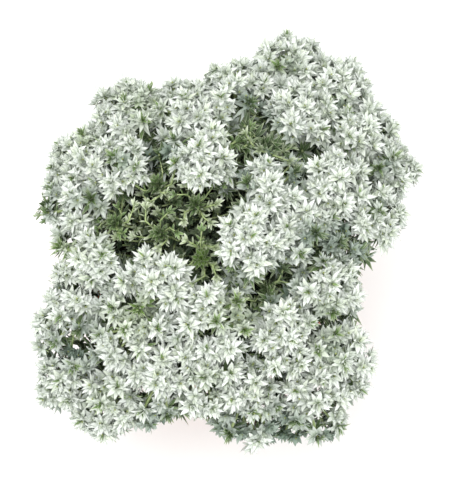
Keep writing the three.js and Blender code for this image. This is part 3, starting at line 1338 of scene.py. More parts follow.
@dataclass(frozen=True)
class SoilFinish:
    """The finish of the potting mix."""

    name: str = "potting_mix"
    colour: Colour = shade(66, 50, 38)
    dark: Colour = shade(34, 26, 21)
    fleck: Colour = shade(120, 100, 78)

    def build(self) -> bpy.types.Material:
        """Make the material.

        Returns:
            The material.
        """
        material, nodes, surface = start_material(self.name)
        colour = nodes.mix(nodes.span(nodes.noise(300.0, 5.0), 0.35, 0.65), self.colour, self.dark)
        crumbs = nodes.add("ShaderNodeTexVoronoi")
        crumbs.inputs["Scale"].default_value = 520.0
        nodes.feed(crumbs.inputs["Vector"], nodes.place())
        colour = nodes.mix(nodes.span(crumbs.outputs["Distance"], 0.0, 0.22, 0.5, 0.0), colour, self.fleck)
        nodes.feed(surface.inputs["Base Color"], mottled(nodes, colour, 1200.0, 0.4))
        surface.inputs["Roughness"].default_value = 0.95
        relief = nodes.math("ADD", nodes.noise(700.0, 6.0), crumbs.outputs["Distance"])
        nodes.feed(surface.inputs["Normal"], nodes.bump(relief, 0.9, 0.0012))
        return material


@dataclass
class Finishes:
    """Every finish of the object, built once."""

    bract: bpy.types.Material = field(init=False)
    young: bpy.types.Material = field(init=False)
    leaf: bpy.types.Material = field(init=False)
    stem: bpy.types.Material = field(init=False)
    bud: bpy.types.Material = field(init=False)
    clay: bpy.types.Material = field(init=False)
    soil: bpy.types.Material = field(init=False)

    def __post_init__(self) -> None:
        """Build the materials."""
        self.bract = BladeFinish(
            "papery_bract",
            base=shade(206, 217, 196),
            body=shade(236, 240, 235),
            tip=shade(243, 246, 242),
            rim=shade(140, 150, 142),
            rib=shade(190, 201, 184),
            inner=shade(198, 213, 164),
            shadow=shade(96, 122, 103),
            shade_strength=0.85,
            rim_strength=0.6,
            rib_strength=0.35,
            dullest=0.9,
            roughness=0.5,
        ).build()
        self.young = BladeFinish(
            "young_bract",
            base=shade(150, 170, 112),
            body=shade(200, 212, 180),
            tip=shade(234, 239, 225),
            rim=shade(228, 233, 216),
            rib=shade(156, 176, 120),
            inner=shade(166, 186, 120),
            shadow=shade(84, 104, 72),
            shade_strength=0.8,
            rim_strength=0.5,
            rib_strength=0.5,
            dullest=0.75,
            roughness=0.55,
        ).build()
        self.leaf = BladeFinish(
            "small_leaf",
            base=shade(90, 120, 60),
            body=shade(119, 148, 92),
            tip=shade(162, 182, 124),
            rim=shade(202, 213, 180),
            rib=shade(156, 178, 116),
            inner=shade(122, 156, 62),
            shadow=shade(20, 48, 34),
            shade_strength=0.93,
            rim_strength=0.85,
            rib_strength=0.5,
            dullest=0.6,
            roughness=0.6,
        ).build()
        self.stem = StemFinish("leafy_stem", shade(180, 194, 140), shade(136, 156, 98)).build()
        self.bud = StemFinish("floret_bud", shade(160, 168, 104), shade(128, 138, 76)).build()
        self.clay = ClayFinish().build()
        self.soil = SoilFinish().build()


@dataclass(frozen=True)
class BractLayer:
    """One ring of bracts in a cluster: how many, how far they rise, their length and width, and their youth."""

    count: int
    rise: float
    length: float
    width: float
    youth: float


@dataclass(frozen=True)
class TuftLevel:
    """A level of tufts in the gaps between the heads, in millimetres.

    Depth is below the heads, step is between the places that are tried, and apart is between those taken.
    The nearest head has to be further off than near, and closer than far at the cushion's edge, than inner
    round the hollow and than wide in a gap that heads surround. Chance is that of a cluster of bracts.
    """

    depth: float
    step: float
    apart: float
    near: float
    far: float
    inner: float
    wide: float
    chance: float
    leaves: int
    edge_leaves: int
    length: float
    # Painted shade of the tuft's bracts, and of its leaves.
    bract_shade: float
    leaf_shade: float


@dataclass
class FlowerSprays:
    """The bunches of heads, each head a few clusters of papery bracts, with small tufts in the gaps.

    Ranges are what each random draw lies between. Turns and tilts of bracts are in steps and degrees.
    """

    growth: Growth
    finishes: Finishes
    box: tuple[Vector, Vector]
    draw: Draw = field(default_factory=lambda: Draw(31))
    ease: float = 1.6
    layers: tuple[BractLayer, ...] = (
        BractLayer(8, -2.0, 5.2, 2.4, 0.1),
        BractLayer(6, 30.0, 4.8, 2.2, 0.0),
        BractLayer(4, 58.0, 4.0, 1.85, 0.2),
    )
    bract_turn: Range = (-0.35, 0.35)
    bract_tilt: Range = (-15, 15)
    bract_roll: Range = (-0.6, 0.6)
    bract_length: Range = (0.78, 1.1)
    bract_width: Range = (0.8, 1.2)
    bract_out: float = 0.35
    bract_sunk: float = 0.3
    bract_youth: float = 0.4
    green_youth: float = 0.7
    green_shrink: float = 0.3
    # Painted shade that patches add to bracts: a base share and a share of the patch's shade.
    patch_painted_shade: Range = (0.1, 0.8)
    bud_radius: float = 0.4
    bud_rise: float = 1.0
    bud_out: Range = (0.6, 1.3)
    around: int = 4
    spread: float = 3.6
    fan: float = 0.75
    green_skip: float = 0.6
    middle_lift: float = 0.9
    outer_ease: float = -1.0
    outer_turn: Range = (-0.35, 0.35)
    outer_reach: Range = (0.75, 1.35)
    outer_drop: Range = (0.0, 2.4)
    outer_fan: Range = (0.6, 1.5)
    outer_scale: Range = (0.78, 1.08)
    outer_shade: float = 0.06
    leaf_share: float = 0.25
    leaf_width: Range = (0.85, 1.35)
    leaf_length: Range = (0.8, 1.2)
    low_bracts: float = 0.45
    top_leaves: Range = (0, 3)
    top_rise: Range = (15, 75)
    top_lift: float = 1.2
    top_length: float = 3.6
    green_leaves: float = 15.0
    green_length: float = 1.4
    under_leaves: int = 9
    under_rise: Range = (-40, -5)
    under_drop: float = 2.6
    under_length: float = 6.2
    under_shade: float = 0.22
    head_stalk: float = 0.5
    tuft_stalk: float = 0.4
    hub_radius: float = 1.1
    levels: tuple[TuftLevel, ...] = (
        TuftLevel(
            depth=4.6, step=3.6, apart=4.6, near=4.9, far=6.8, inner=7.5, wide=7.5, chance=1.0,
            leaves=5, edge_leaves=5, length=5.0, bract_shade=0.2, leaf_shade=0.0,
        ),
        TuftLevel(
            depth=10.0, step=4.4, apart=4.4, near=2.5, far=5.0, inner=9.0, wide=15.0, chance=0.5,
            leaves=17, edge_leaves=8, length=6.4, bract_shade=0.5, leaf_shade=0.55,
        ),
        TuftLevel(
            depth=15.0, step=4.2, apart=4.4, near=0.0, far=0.0, inner=1.0, wide=15.0, chance=0.0,
            leaves=15, edge_leaves=8, length=6.4, bract_shade=0.5, leaf_shade=0.55,
        ),
    )
    tuft_lean: float = 0.6
    tuft_rise: Range = (-0.4, 0.7)
    tuft_play: Range = (-1, 1)
    crown_reach: float = 9.0
    edge: float = 66.0
    edge_length: float = 5.0
    field_width: float = 190.0
    neighbours: int = 10
    core: float = 34.0
    hollow: float = 57.0
    surrounded: float = 0.45
    open_side: float = 0.7
    dark_green: float = 0.3
    dark_shade: float = 0.9
    third_ease: float = 3.0

    def __post_init__(self) -> None:
        """Make the shapes that the heads repeat."""
        rows = ((0.0, 0.55), (0.38, 1.0), (0.71, 0.58), (1.0, 0.02))
        bends = ((0.14, 0.2), (0.1, 0.6), (0.2, -0.4), (0.08, 1.0))
        self.bracts = [Blade(rows, *bend).make(f"bract_{n}") for n, bend in enumerate(bends)]
        self.leaf = Blade(((0.0, 0.5), (0.45, 1.0), (1.0, 0.05)), 0.3, 0.2).make("tip_leaf")
        self.rod = Shape.rod("stalk", 5, 1.2)
        self.bud = Shape.bud("bud")

    @staticmethod
    def _turned(axis: Vector, angle: float, rise: float) -> tuple[Vector, Vector]:
        """Point a blade out from an axis.

        Args:
            axis: The axis.
            angle: The turn about it, in radians.
            rise: How far the blade rises towards it, in radians.

        Returns:
            The blade's direction, and the same direction with no rise.
        """
        out = ray(*across(axis), angle)
        return out * math.cos(rise) + axis * math.sin(rise), out

    @staticmethod
    def _slim(scale: float) -> float:
        """Return how wide the bracts of a smaller cluster are, which shrink less in width than in length."""
        return 0.4 + 0.6 * scale

    def _bud(self, work: Work, spot: Vector, radius: float, light: float, slot: SprayPart) -> None:
        """Add a small round bud.

        Args:
            work: The mesh to add to.
            spot: Its place.
            radius: Its radius.
            light: The light of its tone.
            slot: Its material.
        """
        size = Vector((radius, radius, radius))
        work.add(self.bud, Matrix.LocRotScale(spot, None, size), (light, 0, 0), slot)

    def cluster(
        self, work: Work, head: Head, centre: Vector, axis: Vector, scale: float, shadow: float
    ) -> None:
        """Add one cluster of bracts round a bud.

        Args:
            work: The mesh to add to.
            head: The head that it belongs to, which keeps clear of its neighbours.
            centre: The middle of the cluster.
            axis: The way it faces.
            scale: Its size, one for a full cluster.
            shadow: How much painted shade darkens its bracts towards grey-green.
        """
        turn = self.draw.next() * math.tau
        green, shade = self.growth.green(centre)
        scale *= 1.0 - self.green_shrink * green
        # Painted shade: patches darken the bracts, the more so where their shade is deep.
        shadow = min(shadow + green * (self.patch_painted_shade[0] + self.patch_painted_shade[1] * shade), 1.0)
        young = self.green_youth * green * (1.0 - shade)
        for layer in self.layers:
            for k in range(layer.count):
                angle = turn + (k + self.draw.between(*self.bract_turn)) * math.tau / layer.count
                rise = math.radians(layer.rise + self.draw.between(*self.bract_tilt))
                along, out = self._turned(axis, angle, rise)
                root = centre + out * self.bract_out - axis * self.bract_sunk
                roll = axis.cross(out) * self.draw.between(*self.bract_roll)
                up = axis * math.cos(rise) - out * math.sin(rise) + roll
                length = layer.length * scale * self.draw.between(*self.bract_length)
                length = head.room(root, along, length, self.ease)
                width = layer.width * self._slim(scale) * self.draw.between(*self.bract_width)
                shape = self.bracts[int(self.draw.next() * len(self.bracts))]
                youth = layer.youth + self.bract_youth * self.draw.next() ** 4 + young
                tone = (self.draw.next(), shadow, min(youth, 1.0))
                work.aim(shape, root, along, up, Vector((width, length, width)), tone, SprayPart.BRACT)
            turn += math.pi / layer.count
        side, _ = self._turned(axis, self.draw.next() * math.tau, self.bud_rise)
        spot = centre + side * self.draw.between(*self.bud_out)
        self._bud(work, spot, self.bud_radius, self.draw.next(), SprayPart.BUD)

    def _leaf(
        self,
        work: Work,
        head: Head,
        root: Vector,
        angle: float,
        rise: float,
        length: float,
        least: float = 0.0,
    ) -> None:
        """Add a small leaf, or an old bract among the lower ones.

        Args:
            work: The mesh to add to.
            head: The head or tuft that it belongs to.
            root: Where it starts.
            angle: Its turn about the head's axis, in radians.
            rise: How far it rises, in radians.
            length: Its length, before the play of the draw.
            least: The least shadow of its tone.
        """
        along, _ = self._turned(head.axis, angle, rise)
        width = self.leaf_share * length * self.draw.between(*self.leaf_width)
        length = head.room(root, along, length * self.draw.between(*self.leaf_length), self.ease)
        light, shadow, youth = self.growth.leaf_tone(root, self.draw)
        tone = (light, max(shadow, least), youth)
        slot = SprayPart.BRACT if rise < 0 and self.draw.next() < self.low_bracts else SprayPart.LEAF
        work.aim(self.leaf, root, along, head.axis, Vector((width, length, width)), tone, slot)

    def stalk(self, work: Work, hub: Vector, tip: Vector, radius: float) -> None:
        """Add a stalk from the hub to a head or tuft.

        Args:
            work: The mesh to add to.
            hub: Where it starts.
            tip: Where it ends.
            radius: Its radius.
        """
        arm = tip - hub
        size = Vector((radius, arm.length, radius))
        work.aim(self.rod, hub, arm, arm.orthogonal(), size, (0.5, 0, 0), SprayPart.STALK)

    def head(self, work: Work, head: Head, hub: Vector) -> None:
        """Add one flower head with its stalk.

        Args:
            work: The mesh to add to.
            head: The head's place and size.
            hub: Where its stalk starts.
        """
        scale = head.radius / HEAD_RADIUS
        green = self.growth.green(head.centre)[0]
        self.cluster(work, head, head.centre + head.axis * self.middle_lift, head.axis, scale, 0.0)
        for k in range(self.around):
            if self.draw.next() < self.green_skip * green:
                continue
            angle = head.turn + (k + self.draw.between(*self.outer_turn)) * math.tau / self.around
            _, out = self._turned(head.axis, angle, 0.0)
            reach = self.spread * scale * self.draw.between(*self.outer_reach)
            reach = head.room(head.centre, out, reach, self.outer_ease)
            spot = head.centre + out * reach - head.axis * self.draw.between(*self.outer_drop)
            axis = (head.axis + out * self.fan * self.draw.between(*self.outer_fan)).normalized()
            size = scale * self.draw.between(*self.outer_scale)
            self.cluster(work, head, spot, axis, size, self.outer_shade)
        for _ in range(int(self.draw.between(*self.top_leaves) + self.green_leaves * green)):
            angle, rise = self.draw.next() * math.tau, math.radians(self.draw.between(*self.top_rise))
            root = head.centre + head.axis * self.top_lift
            self._leaf(work, head, root, angle, rise, self.top_length + self.green_length * green)
        under = head.centre - head.axis * self.under_drop
        for k in range(self.under_leaves):
            angle = head.turn + (k + self.draw.next()) * math.tau / self.under_leaves
            rise = math.radians(self.draw.between(*self.under_rise))
            self._leaf(work, head, under, angle, rise, self.under_length, self.under_shade)
        self.stalk(work, hub, head.centre, self.head_stalk)

    def _has_cluster(self, level: TuftLevel, spot: Vector, spray: Spray) -> bool:
        """Choose whether a tuft has a cluster of bracts.

        Args:
            level: The tuft's level.
            spot: Its place.
            spray: The spray that it grows from.

        Returns:
            Whether it has one.
        """
        if level.chance in (0.0, 1.0):
            return level.chance == 1.0
        nearest = min((head.centre.xy - spot.xy).length for head in spray.heads)
        return nearest < self.crown_reach and self.draw.next() < level.chance

    def tuft(self, work: Work, spot: Vector, spray: Spray, level: TuftLevel) -> None:
        """Add a small tuft of older bracts and leaves low between the heads, greyed by painted shade.

        Args:
            work: The mesh to add to.
            spot: Its place.
            spray: The spray that it grows from.
            level: Its level.
        """
        axis = (spot - spray.hub).normalized().lerp(spray.normal, self.tuft_lean).normalized()
        head = Head(spot, axis, HEAD_RADIUS, 0.0)
        outside = spot.xy.length > self.edge
        if outside or self._has_cluster(level, spot, spray):
            self.cluster(work, head, spot, axis, 1.0, level.bract_shade)
        count = level.edge_leaves if outside else level.leaves
        length = self.edge_length if outside else level.length
        for k in range(count):
            angle = (k + self.draw.next()) * math.tau / count
            rise = self.draw.between(*self.tuft_rise)
            self._leaf(work, head, spot - axis, angle, rise, length, level.leaf_shade)
        self.stalk(work, spray.hub, spot, self.tuft_stalk)

    def _far(self, level: TuftLevel, place: Vector, arms: list[Vector]) -> float:
        """Work out how far the nearest head may be from a tuft.

        Args:
            level: The tuft's level.
            place: Its place in plan.
            arms: The way from there to every head.

        Returns:
            The most that it may be.
        """
        near = sorted(arms, key=lambda arm: arm.length)[: self.neighbours]
        pull = sum((arm.normalized() for arm in near), Vector((0, 0))).length / len(near)
        green, shade = self.growth.green(place)
        if place.length > self.core and pull < self.surrounded:
            return level.wide
        # Patches of deep painted shade, like the hollow, let tufts stand further from the heads.
        dark = green > self.dark_green and shade > self.dark_shade
        return level.inner if pull < self.open_side and (dark or place.length < self.hollow) else level.far

    def tuft_spots(self, level: TuftLevel) -> list[list[Vector]]:
        """Find the places of a level's tufts: where no head is near, but not beyond the outermost ones.

        Args:
            level: The level.

        Returns:
            The places for each spray.
        """
        sprays = [spray for plant in self.growth.shoots for spray in plant.sprays]
        heads = [(head.centre, n) for n, spray in enumerate(sprays) for head in spray.heads]
        spots: list[list[Vector]] = [[] for _ in sprays]
        taken: list[Vector] = []
        count = int(self.field_width / level.step)
        for row in range(count):
            for column in range(count):
                x = (column - count / 2 + 0.5 * (row % 2)) * level.step + self.draw.between(*self.tuft_play)
                y = (row - count / 2) * level.step + self.draw.between(*self.tuft_play)
                place = Vector((x, y))
                gaps = sorted(((centre.xy - place).length, centre.z, n) for centre, n in heads)[:3]
                crowded = any((other.xy - place).length < level.apart for other in taken)
                far = self._far(level, place, [centre.xy - place for centre, _ in heads])
                first, third = gaps[0][0], gaps[2][0]
                if crowded or first < level.near or first > far or third > far + self.third_ease:
                    continue
                spot = Vector((x, y, sum(gap[1] for gap in gaps) / 3 - level.depth))
                taken.append(spot)
                spots[gaps[0][2]].append(spot)
        return spots

    def build(self) -> None:
        """Build every spray."""
        materials = [self.finishes.bract, self.finishes.leaf, self.finishes.stem, self.finishes.bud]
        sprays = [spray for plant in self.growth.shoots for spray in plant.sprays]
        places = [self.tuft_spots(level) for level in self.levels]
        for n, spray in enumerate(sprays, 1):
            work = Work()
            for head in spray.heads:
                self.head(work, head, spray.hub)
            for level, spots in zip(self.levels, places):
                for spot in spots[n - 1]:
                    self.tuft(work, spot, spray, level)
            self._bud(work, spray.hub, self.hub_radius, 0.5, SprayPart.STALK)
            settle(work.finish(f"flower_spray_{n:02d}", materials, self.box), Slot.BRACT, f"spray_{n:02d}")


@dataclass
class LeafyStems:
    """The bundles of stems with their pairs of small leaves and leafy twigs."""

    growth: Growth
    finishes: Finishes
    box: tuple[Vector, Vector]
    draw: Draw = field(default_factory=lambda: Draw(57))
    leaf_length: float = 3.6
    leaf_width: float = 1.2
    width_play: Range = (0.8, 1.2)
    length_play: Range = (0.75, 1.2)
    twig_leaf: float = 0.85
    stem_leaf: float = 1.1
    crown_leaf: float = 1.45
    crown: int = 26
    crown_turn: float = 2.4
    crown_depth: float = 3.5
    crown_spread: Range = (0.3, 1.5)
    tuft_leaves: int = 6
    young_tuft_leaves: int = 8
    tuft_spread: Range = (0.4, 1.5)
    twig_radii: tuple[float, ...] = (0.4, 0.34, 0.24)
    twig_middle: Range = (0.4, 0.6)
    twig_bend: Range = (-0.3, 0.3)
    twig_pair: float = 2.4
    twig_roll: Range = (-0.6, 0.6)
    twig_reach: float = 0.9
    edge_reach: float = 0.6
    edge: float = 54.0
    rim_zone: Range = (36, 58)
    rim_lift: float = 1.0
    stem_steps: int = 12
    stem_radius: float = 0.8
    side_radius: float = 0.55
    stem_taper: float = 0.4
    stem_pair: float = 3.0
    stem_top: float = 0.97
    low_part: float = 0.75
    bare: float = 5.0
    pair_start: float = 0.6
    twig_along: float = 0.8
    twig_up: float = 0.3
    stem_along: float = 0.6
    chord: float = 0.02
    lean_start: float = 0.2
    lean_rim: float = 1.5
    lean_radius: float = 37.0
    bundle: int = 3
    leafy_bundle: int = 7
    bundle_turn: Range = (-0.25, 0.25)
    bundle_reach: Range = (0.7, 1.2)
    bundle_end: Range = (0.66, 1.0)
    spread: float = 7.5
    stray: float = 2.5
    whorl_play: Range = (-0.06, 0.03)
    pale_tops: float = 0.85
    pale_twigs: float = 0.5

    def __post_init__(self) -> None:
        """Make the shapes that the twigs repeat."""
        rows = ((0.0, 0.45), (0.4, 1.0), (0.75, 0.75), (1.0, 0.05))
        bends = ((0.3, 0.2), (0.2, 0.6), (0.35, -0.3))
        self.leaves = [Blade(rows, *bend).make(f"leaf_{n}") for n, bend in enumerate(bends)]
        self.low_leaf = Blade(((0.0, 0.45), (0.45, 1.0), (1.0, 0.05)), 0.3, 0.3).make("low_leaf")

    @staticmethod
    def _sides(along: Vector) -> tuple[Vector, Vector]:
        """Return two directions across a twig or the end of a stem."""
        side = along.orthogonal().normalized()
        return side, along.cross(side).normalized()

    def _leaf(
        self,
        work: Work,
        root: Vector,
        along: Vector,
        up: Vector,
        scale: float,
        slot: StemPart,
        low: bool = False,
    ) -> None:
        """Add a leaf, unless it would stand in the clay.

        Args:
            work: The mesh to add to.
            root: Where it starts.
            along: The way it points.
            up: The way its upper face looks, roughly.
            scale: Its size.
            slot: Its material.
            low: Whether it is one of the plainer leaves low down.
        """
        width = self.leaf_width * scale * self.draw.between(*self.width_play)
        size = Vector((width, self.leaf_length * scale * self.draw.between(*self.length_play), width))
        tone = self.growth.leaf_tone(root, self.draw)
        pick = self.leaves[int(self.draw.next() * len(self.leaves))]
        if not in_clay(root) and not in_clay(root + along.normalized() * size.y):
            work.aim(self.low_leaf if low else pick, root, along, up, size, tone, slot)

    def tuft(self, work: Work, root: Vector, along: Vector, up: Vector, slot: StemPart) -> None:
        """Add the few leaves or young bracts that crown a twig or a stem.

        Args:
            work: The mesh to add to.
            root: The end of the twig or stem.
            along: The way that it grows.
            up: The way that the leaves' upper faces look, roughly.
            slot: Their material.
        """
        side, front = self._sides(along)
        count = self.young_tuft_leaves if slot is StemPart.YOUNG else self.tuft_leaves
        for k in range(count):
            out = ray(side, front, (k + self.draw.next()) * math.tau / count)
            way = along + out * self.draw.between(*self.tuft_spread)
            self._leaf(work, root, way, up, self.twig_leaf, slot)

    def rosette(self, work: Work, branch: Branch) -> None:
        """Add the dense rosette of leaves that ends a leafy shoot.

        Args:
            work: The mesh to add to.
            branch: The shoot's stem.
        """
        root, along = branch.point(1.0), branch.along(1.0)
        side, front = self._sides(along)
        for k in range(self.crown):
            spread = self.crown_spread[0] + self.crown_spread[1] * k / self.crown
            foot = root - along * (self.crown_depth * k / self.crown)
            out = ray(side, front, k * self.crown_turn)
            self._leaf(work, foot, along + out * spread, along, self.crown_leaf, StemPart.LEAF)

    def twig(self, work: Work, start: Vector, tip: Vector, up: Vector, slot: StemPart) -> None:
        """Add a side twig with pairs of leaves and a tuft at its tip.

        Args:
            work: The mesh to add to.
            start: Where it leaves the stem.
            tip: Where it would end at its full length.
            up: The way that the stem grows.
            slot: The material of its leaves.
        """
        arm = tip - start
        side = arm.cross(up).normalized()
        middle = start + arm * self.draw.between(*self.twig_middle)
        middle += side * (arm.length * self.draw.between(*self.twig_bend))
        reach = self.twig_reach if tip.xy.length < self.edge else self.edge_reach
        path = [start, middle, start + arm * reach]
        for point in path[1:]:
            if self.rim_zone[0] < point.xy.length < self.rim_zone[1]:
                point.z = max(point.z, POT_HEIGHT + self.rim_lift)
        work.tube(path, self.twig_radii, StemPart.STEM, 5)
        for low, high in zip(path, path[1:]):
            part = high - low
            along = part.normalized()
            front = side.cross(along)
            pairs = max(1, round(part.length / self.twig_pair))
            for n in range(pairs):
                out = ray(side, front, n * math.pi / 2 + self.draw.between(*self.twig_roll))
                root = low + part * ((n + self.pair_start) / pairs)
                upper = along + up * self.twig_up
                for sign in (1, -1):
                    self._leaf(work, root, along * self.twig_along + out * sign, upper, self.twig_leaf, slot)
        self.tuft(work, path[-1], along, up, slot)

    def stem(self, work: Work, branch: Branch, lean: Vector, end: float, slot: StemPart) -> None:
        """Add one stem of a bundle with its leaf pairs.

        Args:
            work: The mesh to add to.
            branch: The line that the bundle follows.
            lean: How far its upper end is from that line.
            end: The share of the line that it reaches.
            slot: The material of its top leaves.
        """

        def spot(t: float) -> Vector:
            """Find a point of the stem, which leans out once it is clear of the pot.

            Args:
                t: How far up the stem it is, from 0 to 1.

            Returns:
                The point.
            """
            ease = min(max((t - self.lean_start) / (1.0 - self.lean_start), 0.0), 1.0)
            point = branch.point(t * end)
            leaned = point + lean * (ease * ease * (3 - 2 * ease))
            low = leaned.z < POT_HEIGHT + self.lean_rim and leaned.xy.length > self.lean_radius
            return point if low else leaned

        rows = [k / self.stem_steps for k in range(self.stem_steps + 1)]
        points = [spot(t) for t in rows]
        thick = self.stem_radius if lean.length == 0 else self.side_radius
        work.tube(points, [thick * (1 - self.stem_taper * t) for t in rows], StemPart.STEM)
        length = branch.length() * end
        first = (HOLE_DEPTH + self.bare) / length
        leafy = self.stem_top - first
        count = int(leafy * length / self.stem_pair)
        for n in range(count):
            t = first + leafy * n / count
            along = (spot(t + self.chord) - spot(t - self.chord)).normalized()
            out = ray(*across(along), n * math.pi / 2 + self.draw.next())
            for sign in (1, -1):
                way = out * sign + along * self.stem_along
                self._leaf(work, spot(t), way, along, self.stem_leaf, StemPart.LEAF, t < self.low_part)
        self.tuft(work, points[-1], (points[-1] - points[-2]).normalized(), Vector((0, 0, 1)), slot)

    def bunch(self, work: Work, branch: Branch, leafy: bool) -> None:
        """Add a stem and those that lean out from it.

        Args:
            work: The mesh to add to.
            branch: The line that they follow.
            leafy: Whether it is a leafy shoot without flowers.
        """
        self.stem(work, branch, Vector((0, 0, 0)), 1.0, StemPart.LEAF)
        count = self.leafy_bundle if leafy else self.bundle
        for k in range(count):
            angle = branch.turn + (k + self.draw.between(*self.bundle_turn)) * math.tau / count
            reach = self.spread * self.draw.between(*self.bundle_reach)
            lean = Vector((math.cos(angle), math.sin(angle), 0)) * reach
            slot = StemPart.YOUNG if leafy and self.draw.next() < self.pale_tops else StemPart.LEAF
            self.stem(work, branch, lean, self.draw.between(*self.bundle_end), slot)

    def plant(self, plant: Plant, leafy: bool) -> Work:
        """Make all that grows from one soil hole.

        Args:
            plant: The plant.
            leafy: Whether it is a leafy shoot without flowers.

        Returns:
            The mesh in the making.
        """
        work = Work()
        clearance = Clearance.around(plant, self.growth)
        for branch in plant.branches:
            self.bunch(work, branch, leafy)
            for whorl in branch.whorls:
                for tip in clearance.tips(branch, whorl):
                    start = branch.point(min(whorl.at + self.draw.between(*self.whorl_play), 1.0))
                    stray = Vector([self.draw.between(-self.stray, self.stray) for _ in range(3)])
                    pale = self.pale_twigs if leafy else float(tip.xy.length > self.edge)
                    slot = StemPart.YOUNG if self.draw.next() < pale else StemPart.LEAF
                    self.twig(work, start, tip + stray, branch.along(whorl.at), slot)
            if leafy:
                self.rosette(work, branch)
        return work

    def build(self) -> None:
        """Build every stem and leafy shoot."""
        materials = [self.finishes.leaf, self.finishes.stem, self.finishes.young]
        kinds = (
            ("branched_stem", "stem", self.growth.shoots),
            ("green_shoot", "leafy_shoot", self.growth.leafy),
        )
        for piece, node, plants in kinds:
            for n, plant in enumerate(plants, 1):
                work = self.plant(plant, plants is self.growth.leafy)
                settle(work.finish(f"{piece}_{n:02d}", materials, self.box), Slot.LEAF, f"{node}_{n:02d}")


@dataclass
class ClayPot:
    """The round clay pot, spun from its section, with drainage holes cut through its floor."""

    finishes: Finishes
    height: float = POT_HEIGHT
    base: float = 36.0
    shoulder: float = 45.0
    rim: float = POT_RIM_RADIUS
    band: float = 20.0
    wall: float = 5.0
    floor: float = 6.0
    drain: float = 5.0
    drain_circle: float = 20.0
    drains: int = 3
    steps: int = 96
    sharp: float = 40.0

    def inside(self, z: float) -> float:
        """Work out the inner radius.

        Args:
            z: The height.

        Returns:
            The radius there.
        """
        low = self.base - self.wall
        high = self.shoulder - self.wall + 1
        return low + (high - low) * (z - self.floor) / (self.height - self.floor)

    def section(self) -> list[tuple[float, float]]:
        """Draw the section, with small steps that ease its corners.

        Returns:
            Radius and height of its points, from the axis below to the axis above.
        """
        foot = self.height - self.band
        return [
            (0.0, 0.0),
            (self.base - 1.2, 0.0),
            (self.base, 1.4),
            (self.shoulder, foot - 0.6),
            (self.rim - 2.2, foot - 0.2),
            (self.rim - 1.5, foot + 0.6),
            (self.rim - 0.2, self.height - 2.2),
            (self.rim - 0.4, self.height - 0.8),
            (self.rim - 1.5, self.height),
            (self.inside(self.height) + 1.4, self.height),
            (self.inside(self.height - 1.2), self.height - 1.2),
            (self.inside(self.floor + 1.5), self.floor + 1.5),
            (self.inside(self.floor) - 1.5, self.floor),
            (0.0, self.floor),
        ]

    def build(self) -> None:
        """Build the pot."""
        bm = spun(self.section(), self.steps)
        bmesh.ops.scale(bm, vec=(MM, MM, MM), verts=list(bm.verts))
        pot = make_object("clay_pot", bm)
        for k in range(self.drains):
            angle = k * math.tau / self.drains
            spot = Vector((math.cos(angle), math.sin(angle), 0)) * self.drain_circle * MM
            cut = bmesh.new()
            bmesh.ops.create_cone(
                cut, cap_ends=True, segments=32, radius1=self.drain * MM, radius2=self.drain * MM,
                depth=4 * self.floor * MM, matrix=Matrix.Translation(spot),
            )
            self._cut(pot, make_object(f"drain_cutter_{k}", cut))
        pot.data.name = pot.name
        pot.data.materials.append(self.finishes.clay)
        pot.data.set_sharp_from_angle(angle=math.radians(self.sharp))
        settle(pot, Slot.CLAY, "pot")

    @staticmethod
    def _cut(pot: bpy.types.Object, cutter: bpy.types.Object) -> None:
        """Cut a drainage hole through the floor.

        Args:
            pot: The pot.
            cutter: The body that is cut away, which is removed.
        """
        modifier = pot.modifiers.new("drain", "BOOLEAN")
        modifier.operation = "DIFFERENCE"
        modifier.solver = "EXACT"
        modifier.object = cutter
        graph = bpy.context.evaluated_depsgraph_get()
        pot_mesh = bpy.data.meshes.new_from_object(pot.evaluated_get(graph))
        pot.modifiers.clear()
        old = pot.data
        pot.data = pot_mesh
        bpy.data.meshes.remove(old)
        bpy.data.objects.remove(cutter)


@dataclass
class Soil:
    """The potting mix, a low crumbly mound that fills the pot."""

    finishes: Finishes
    pot: ClayPot
    draw: Draw = field(default_factory=lambda: Draw(83))
    steps: int = 72
    gap: float = 0.3
    corner: float = 1.5
    crumb: float = 0.9
    crumb_depth: float = 3.0
    crumb_edge: float = 0.5
    rings: tuple[float, ...] = (0.93, 0.86, 0.78, 0.7, 0.62, 0.54, 0.46, 0.38, 0.3, 0.22, 0.14, 0.07, 0.0)

    def build(self) -> None:
        """Build the soil."""
        bottom = self.pot.floor + self.gap
        edge = self.pot.inside(SOIL_TOP) - self.gap
        foot = self.pot.inside(bottom) - self.gap - self.corner
        section = [(0.0, bottom), (foot, bottom), (edge, soil_height(edge, 0))]
        section += [(edge * part, soil_height(edge * part, 0)) for part in self.rings]
        bm = spun(section, self.steps)
        for vert in bm.verts:
            if vert.co.z > SOIL_TOP - self.crumb_depth and vert.co.xy.length < edge - self.crumb_edge:
                vert.co.z -= self.crumb * self.draw.next()
        bmesh.ops.scale(bm, vec=(MM, MM, MM), verts=list(bm.verts))
        settle(make_object("potting_soil", bm, self.finishes.soil), Slot.SOIL, "soil")


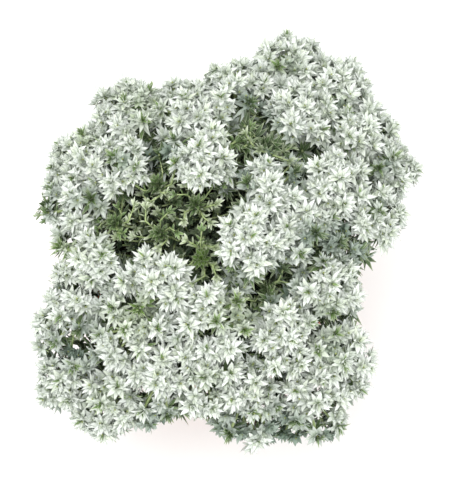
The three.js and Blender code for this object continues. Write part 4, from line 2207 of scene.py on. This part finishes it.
@dataclass(frozen=True)
class Studio:
    """The camera, the soft lights and the pale floor."""

    target: tuple[float, float, float] = (5.3, -3.9, 118.0)
    sensor: float = 36.0
    floor_colour: Colour = (0.9, 0.93, 0.93, 1.0)
    sky_strength: float = 1.4

    def camera(self) -> None:
        """Place the camera as the photograph is taken, steeply from above the front."""
        data = bpy.data.cameras.new("camera")
        data.sensor_fit = "HORIZONTAL"
        data.sensor_width = self.sensor
        data.lens = self.sensor * VIEW_DISTANCE / (PHOTO_SIZE[0] * PHOTO_SCALE)
        data.clip_start = 0.05
        rise = math.radians(VIEW_RISE)
        back = Vector((0, -math.cos(rise), math.sin(rise)))
        eye = bpy.data.objects.new("camera", data)
        eye.matrix_world = back.to_track_quat("Z", "Y").to_matrix().to_4x4()
        eye.location = (Vector(self.target) + back * VIEW_DISTANCE) * MM
        bpy.context.scene.collection.objects.link(eye)
        bpy.context.scene.camera = eye

    def lamp(self, name: str, place: tuple[float, float, float], size: float, power: float) -> None:
        """Add a soft square lamp that looks at the plant.

        Args:
            name: Its name.
            place: Where it hangs, in metres.
            size: How wide it is.
            power: How bright it is, in watts.
        """
        data = bpy.data.lights.new(name, "AREA")
        data.shape = "SQUARE"
        data.size = size
        data.energy = power
        lamp = bpy.data.objects.new(name, data)
        lamp.location = place
        aim = Vector(place) - Vector((0, 0, 0.1))
        lamp.rotation_euler = aim.to_track_quat("Z", "Y").to_euler()
        bpy.context.scene.collection.objects.link(lamp)

    def floor(self) -> None:
        """Lay the pale floor."""
        bm = bmesh.new()
        bmesh.ops.create_grid(bm, x_segments=1, y_segments=1, size=4.0)
        material, _, surface = start_material("pale_floor")
        surface.inputs["Base Color"].default_value = self.floor_colour
        surface.inputs["Roughness"].default_value = 0.9
        make_object("studio_floor", bm, material)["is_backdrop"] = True

    def build(self) -> None:
        """Set up the view and the light."""
        self.camera()
        self.floor()
        world = bpy.data.worlds.new("soft_sky")
        world.use_nodes = True
        sky = world.node_tree.nodes["Background"]
        sky.inputs["Color"].default_value = (1.0, 1.0, 1.0, 1.0)
        sky.inputs["Strength"].default_value = self.sky_strength
        bpy.context.scene.world = world
        bpy.context.scene.view_settings.view_transform = "Standard"
        self.lamp("key", (-0.3, 0.0, 1.65), 0.8, 9.4)
        self.lamp("fill", (0.8, -0.9, 1.1), 1.4, 3.0)


def main() -> None:
    """Build the scene in order and report each piece."""
    logging.basicConfig(level=logging.INFO, format="%(message)s")
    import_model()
    solid_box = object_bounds()
    box = (Vector(solid_box[0]), Vector(solid_box[1]))
    Studio().build()
    finishes = Finishes()
    growth = Growth()
    pot = ClayPot(finishes)
    pot.build()
    Soil(finishes, pot).build()
    FlowerSprays(growth, finishes, box).build()
    LeafyStems(growth, finishes, box).build()


if __name__ == "__main__":
    main()
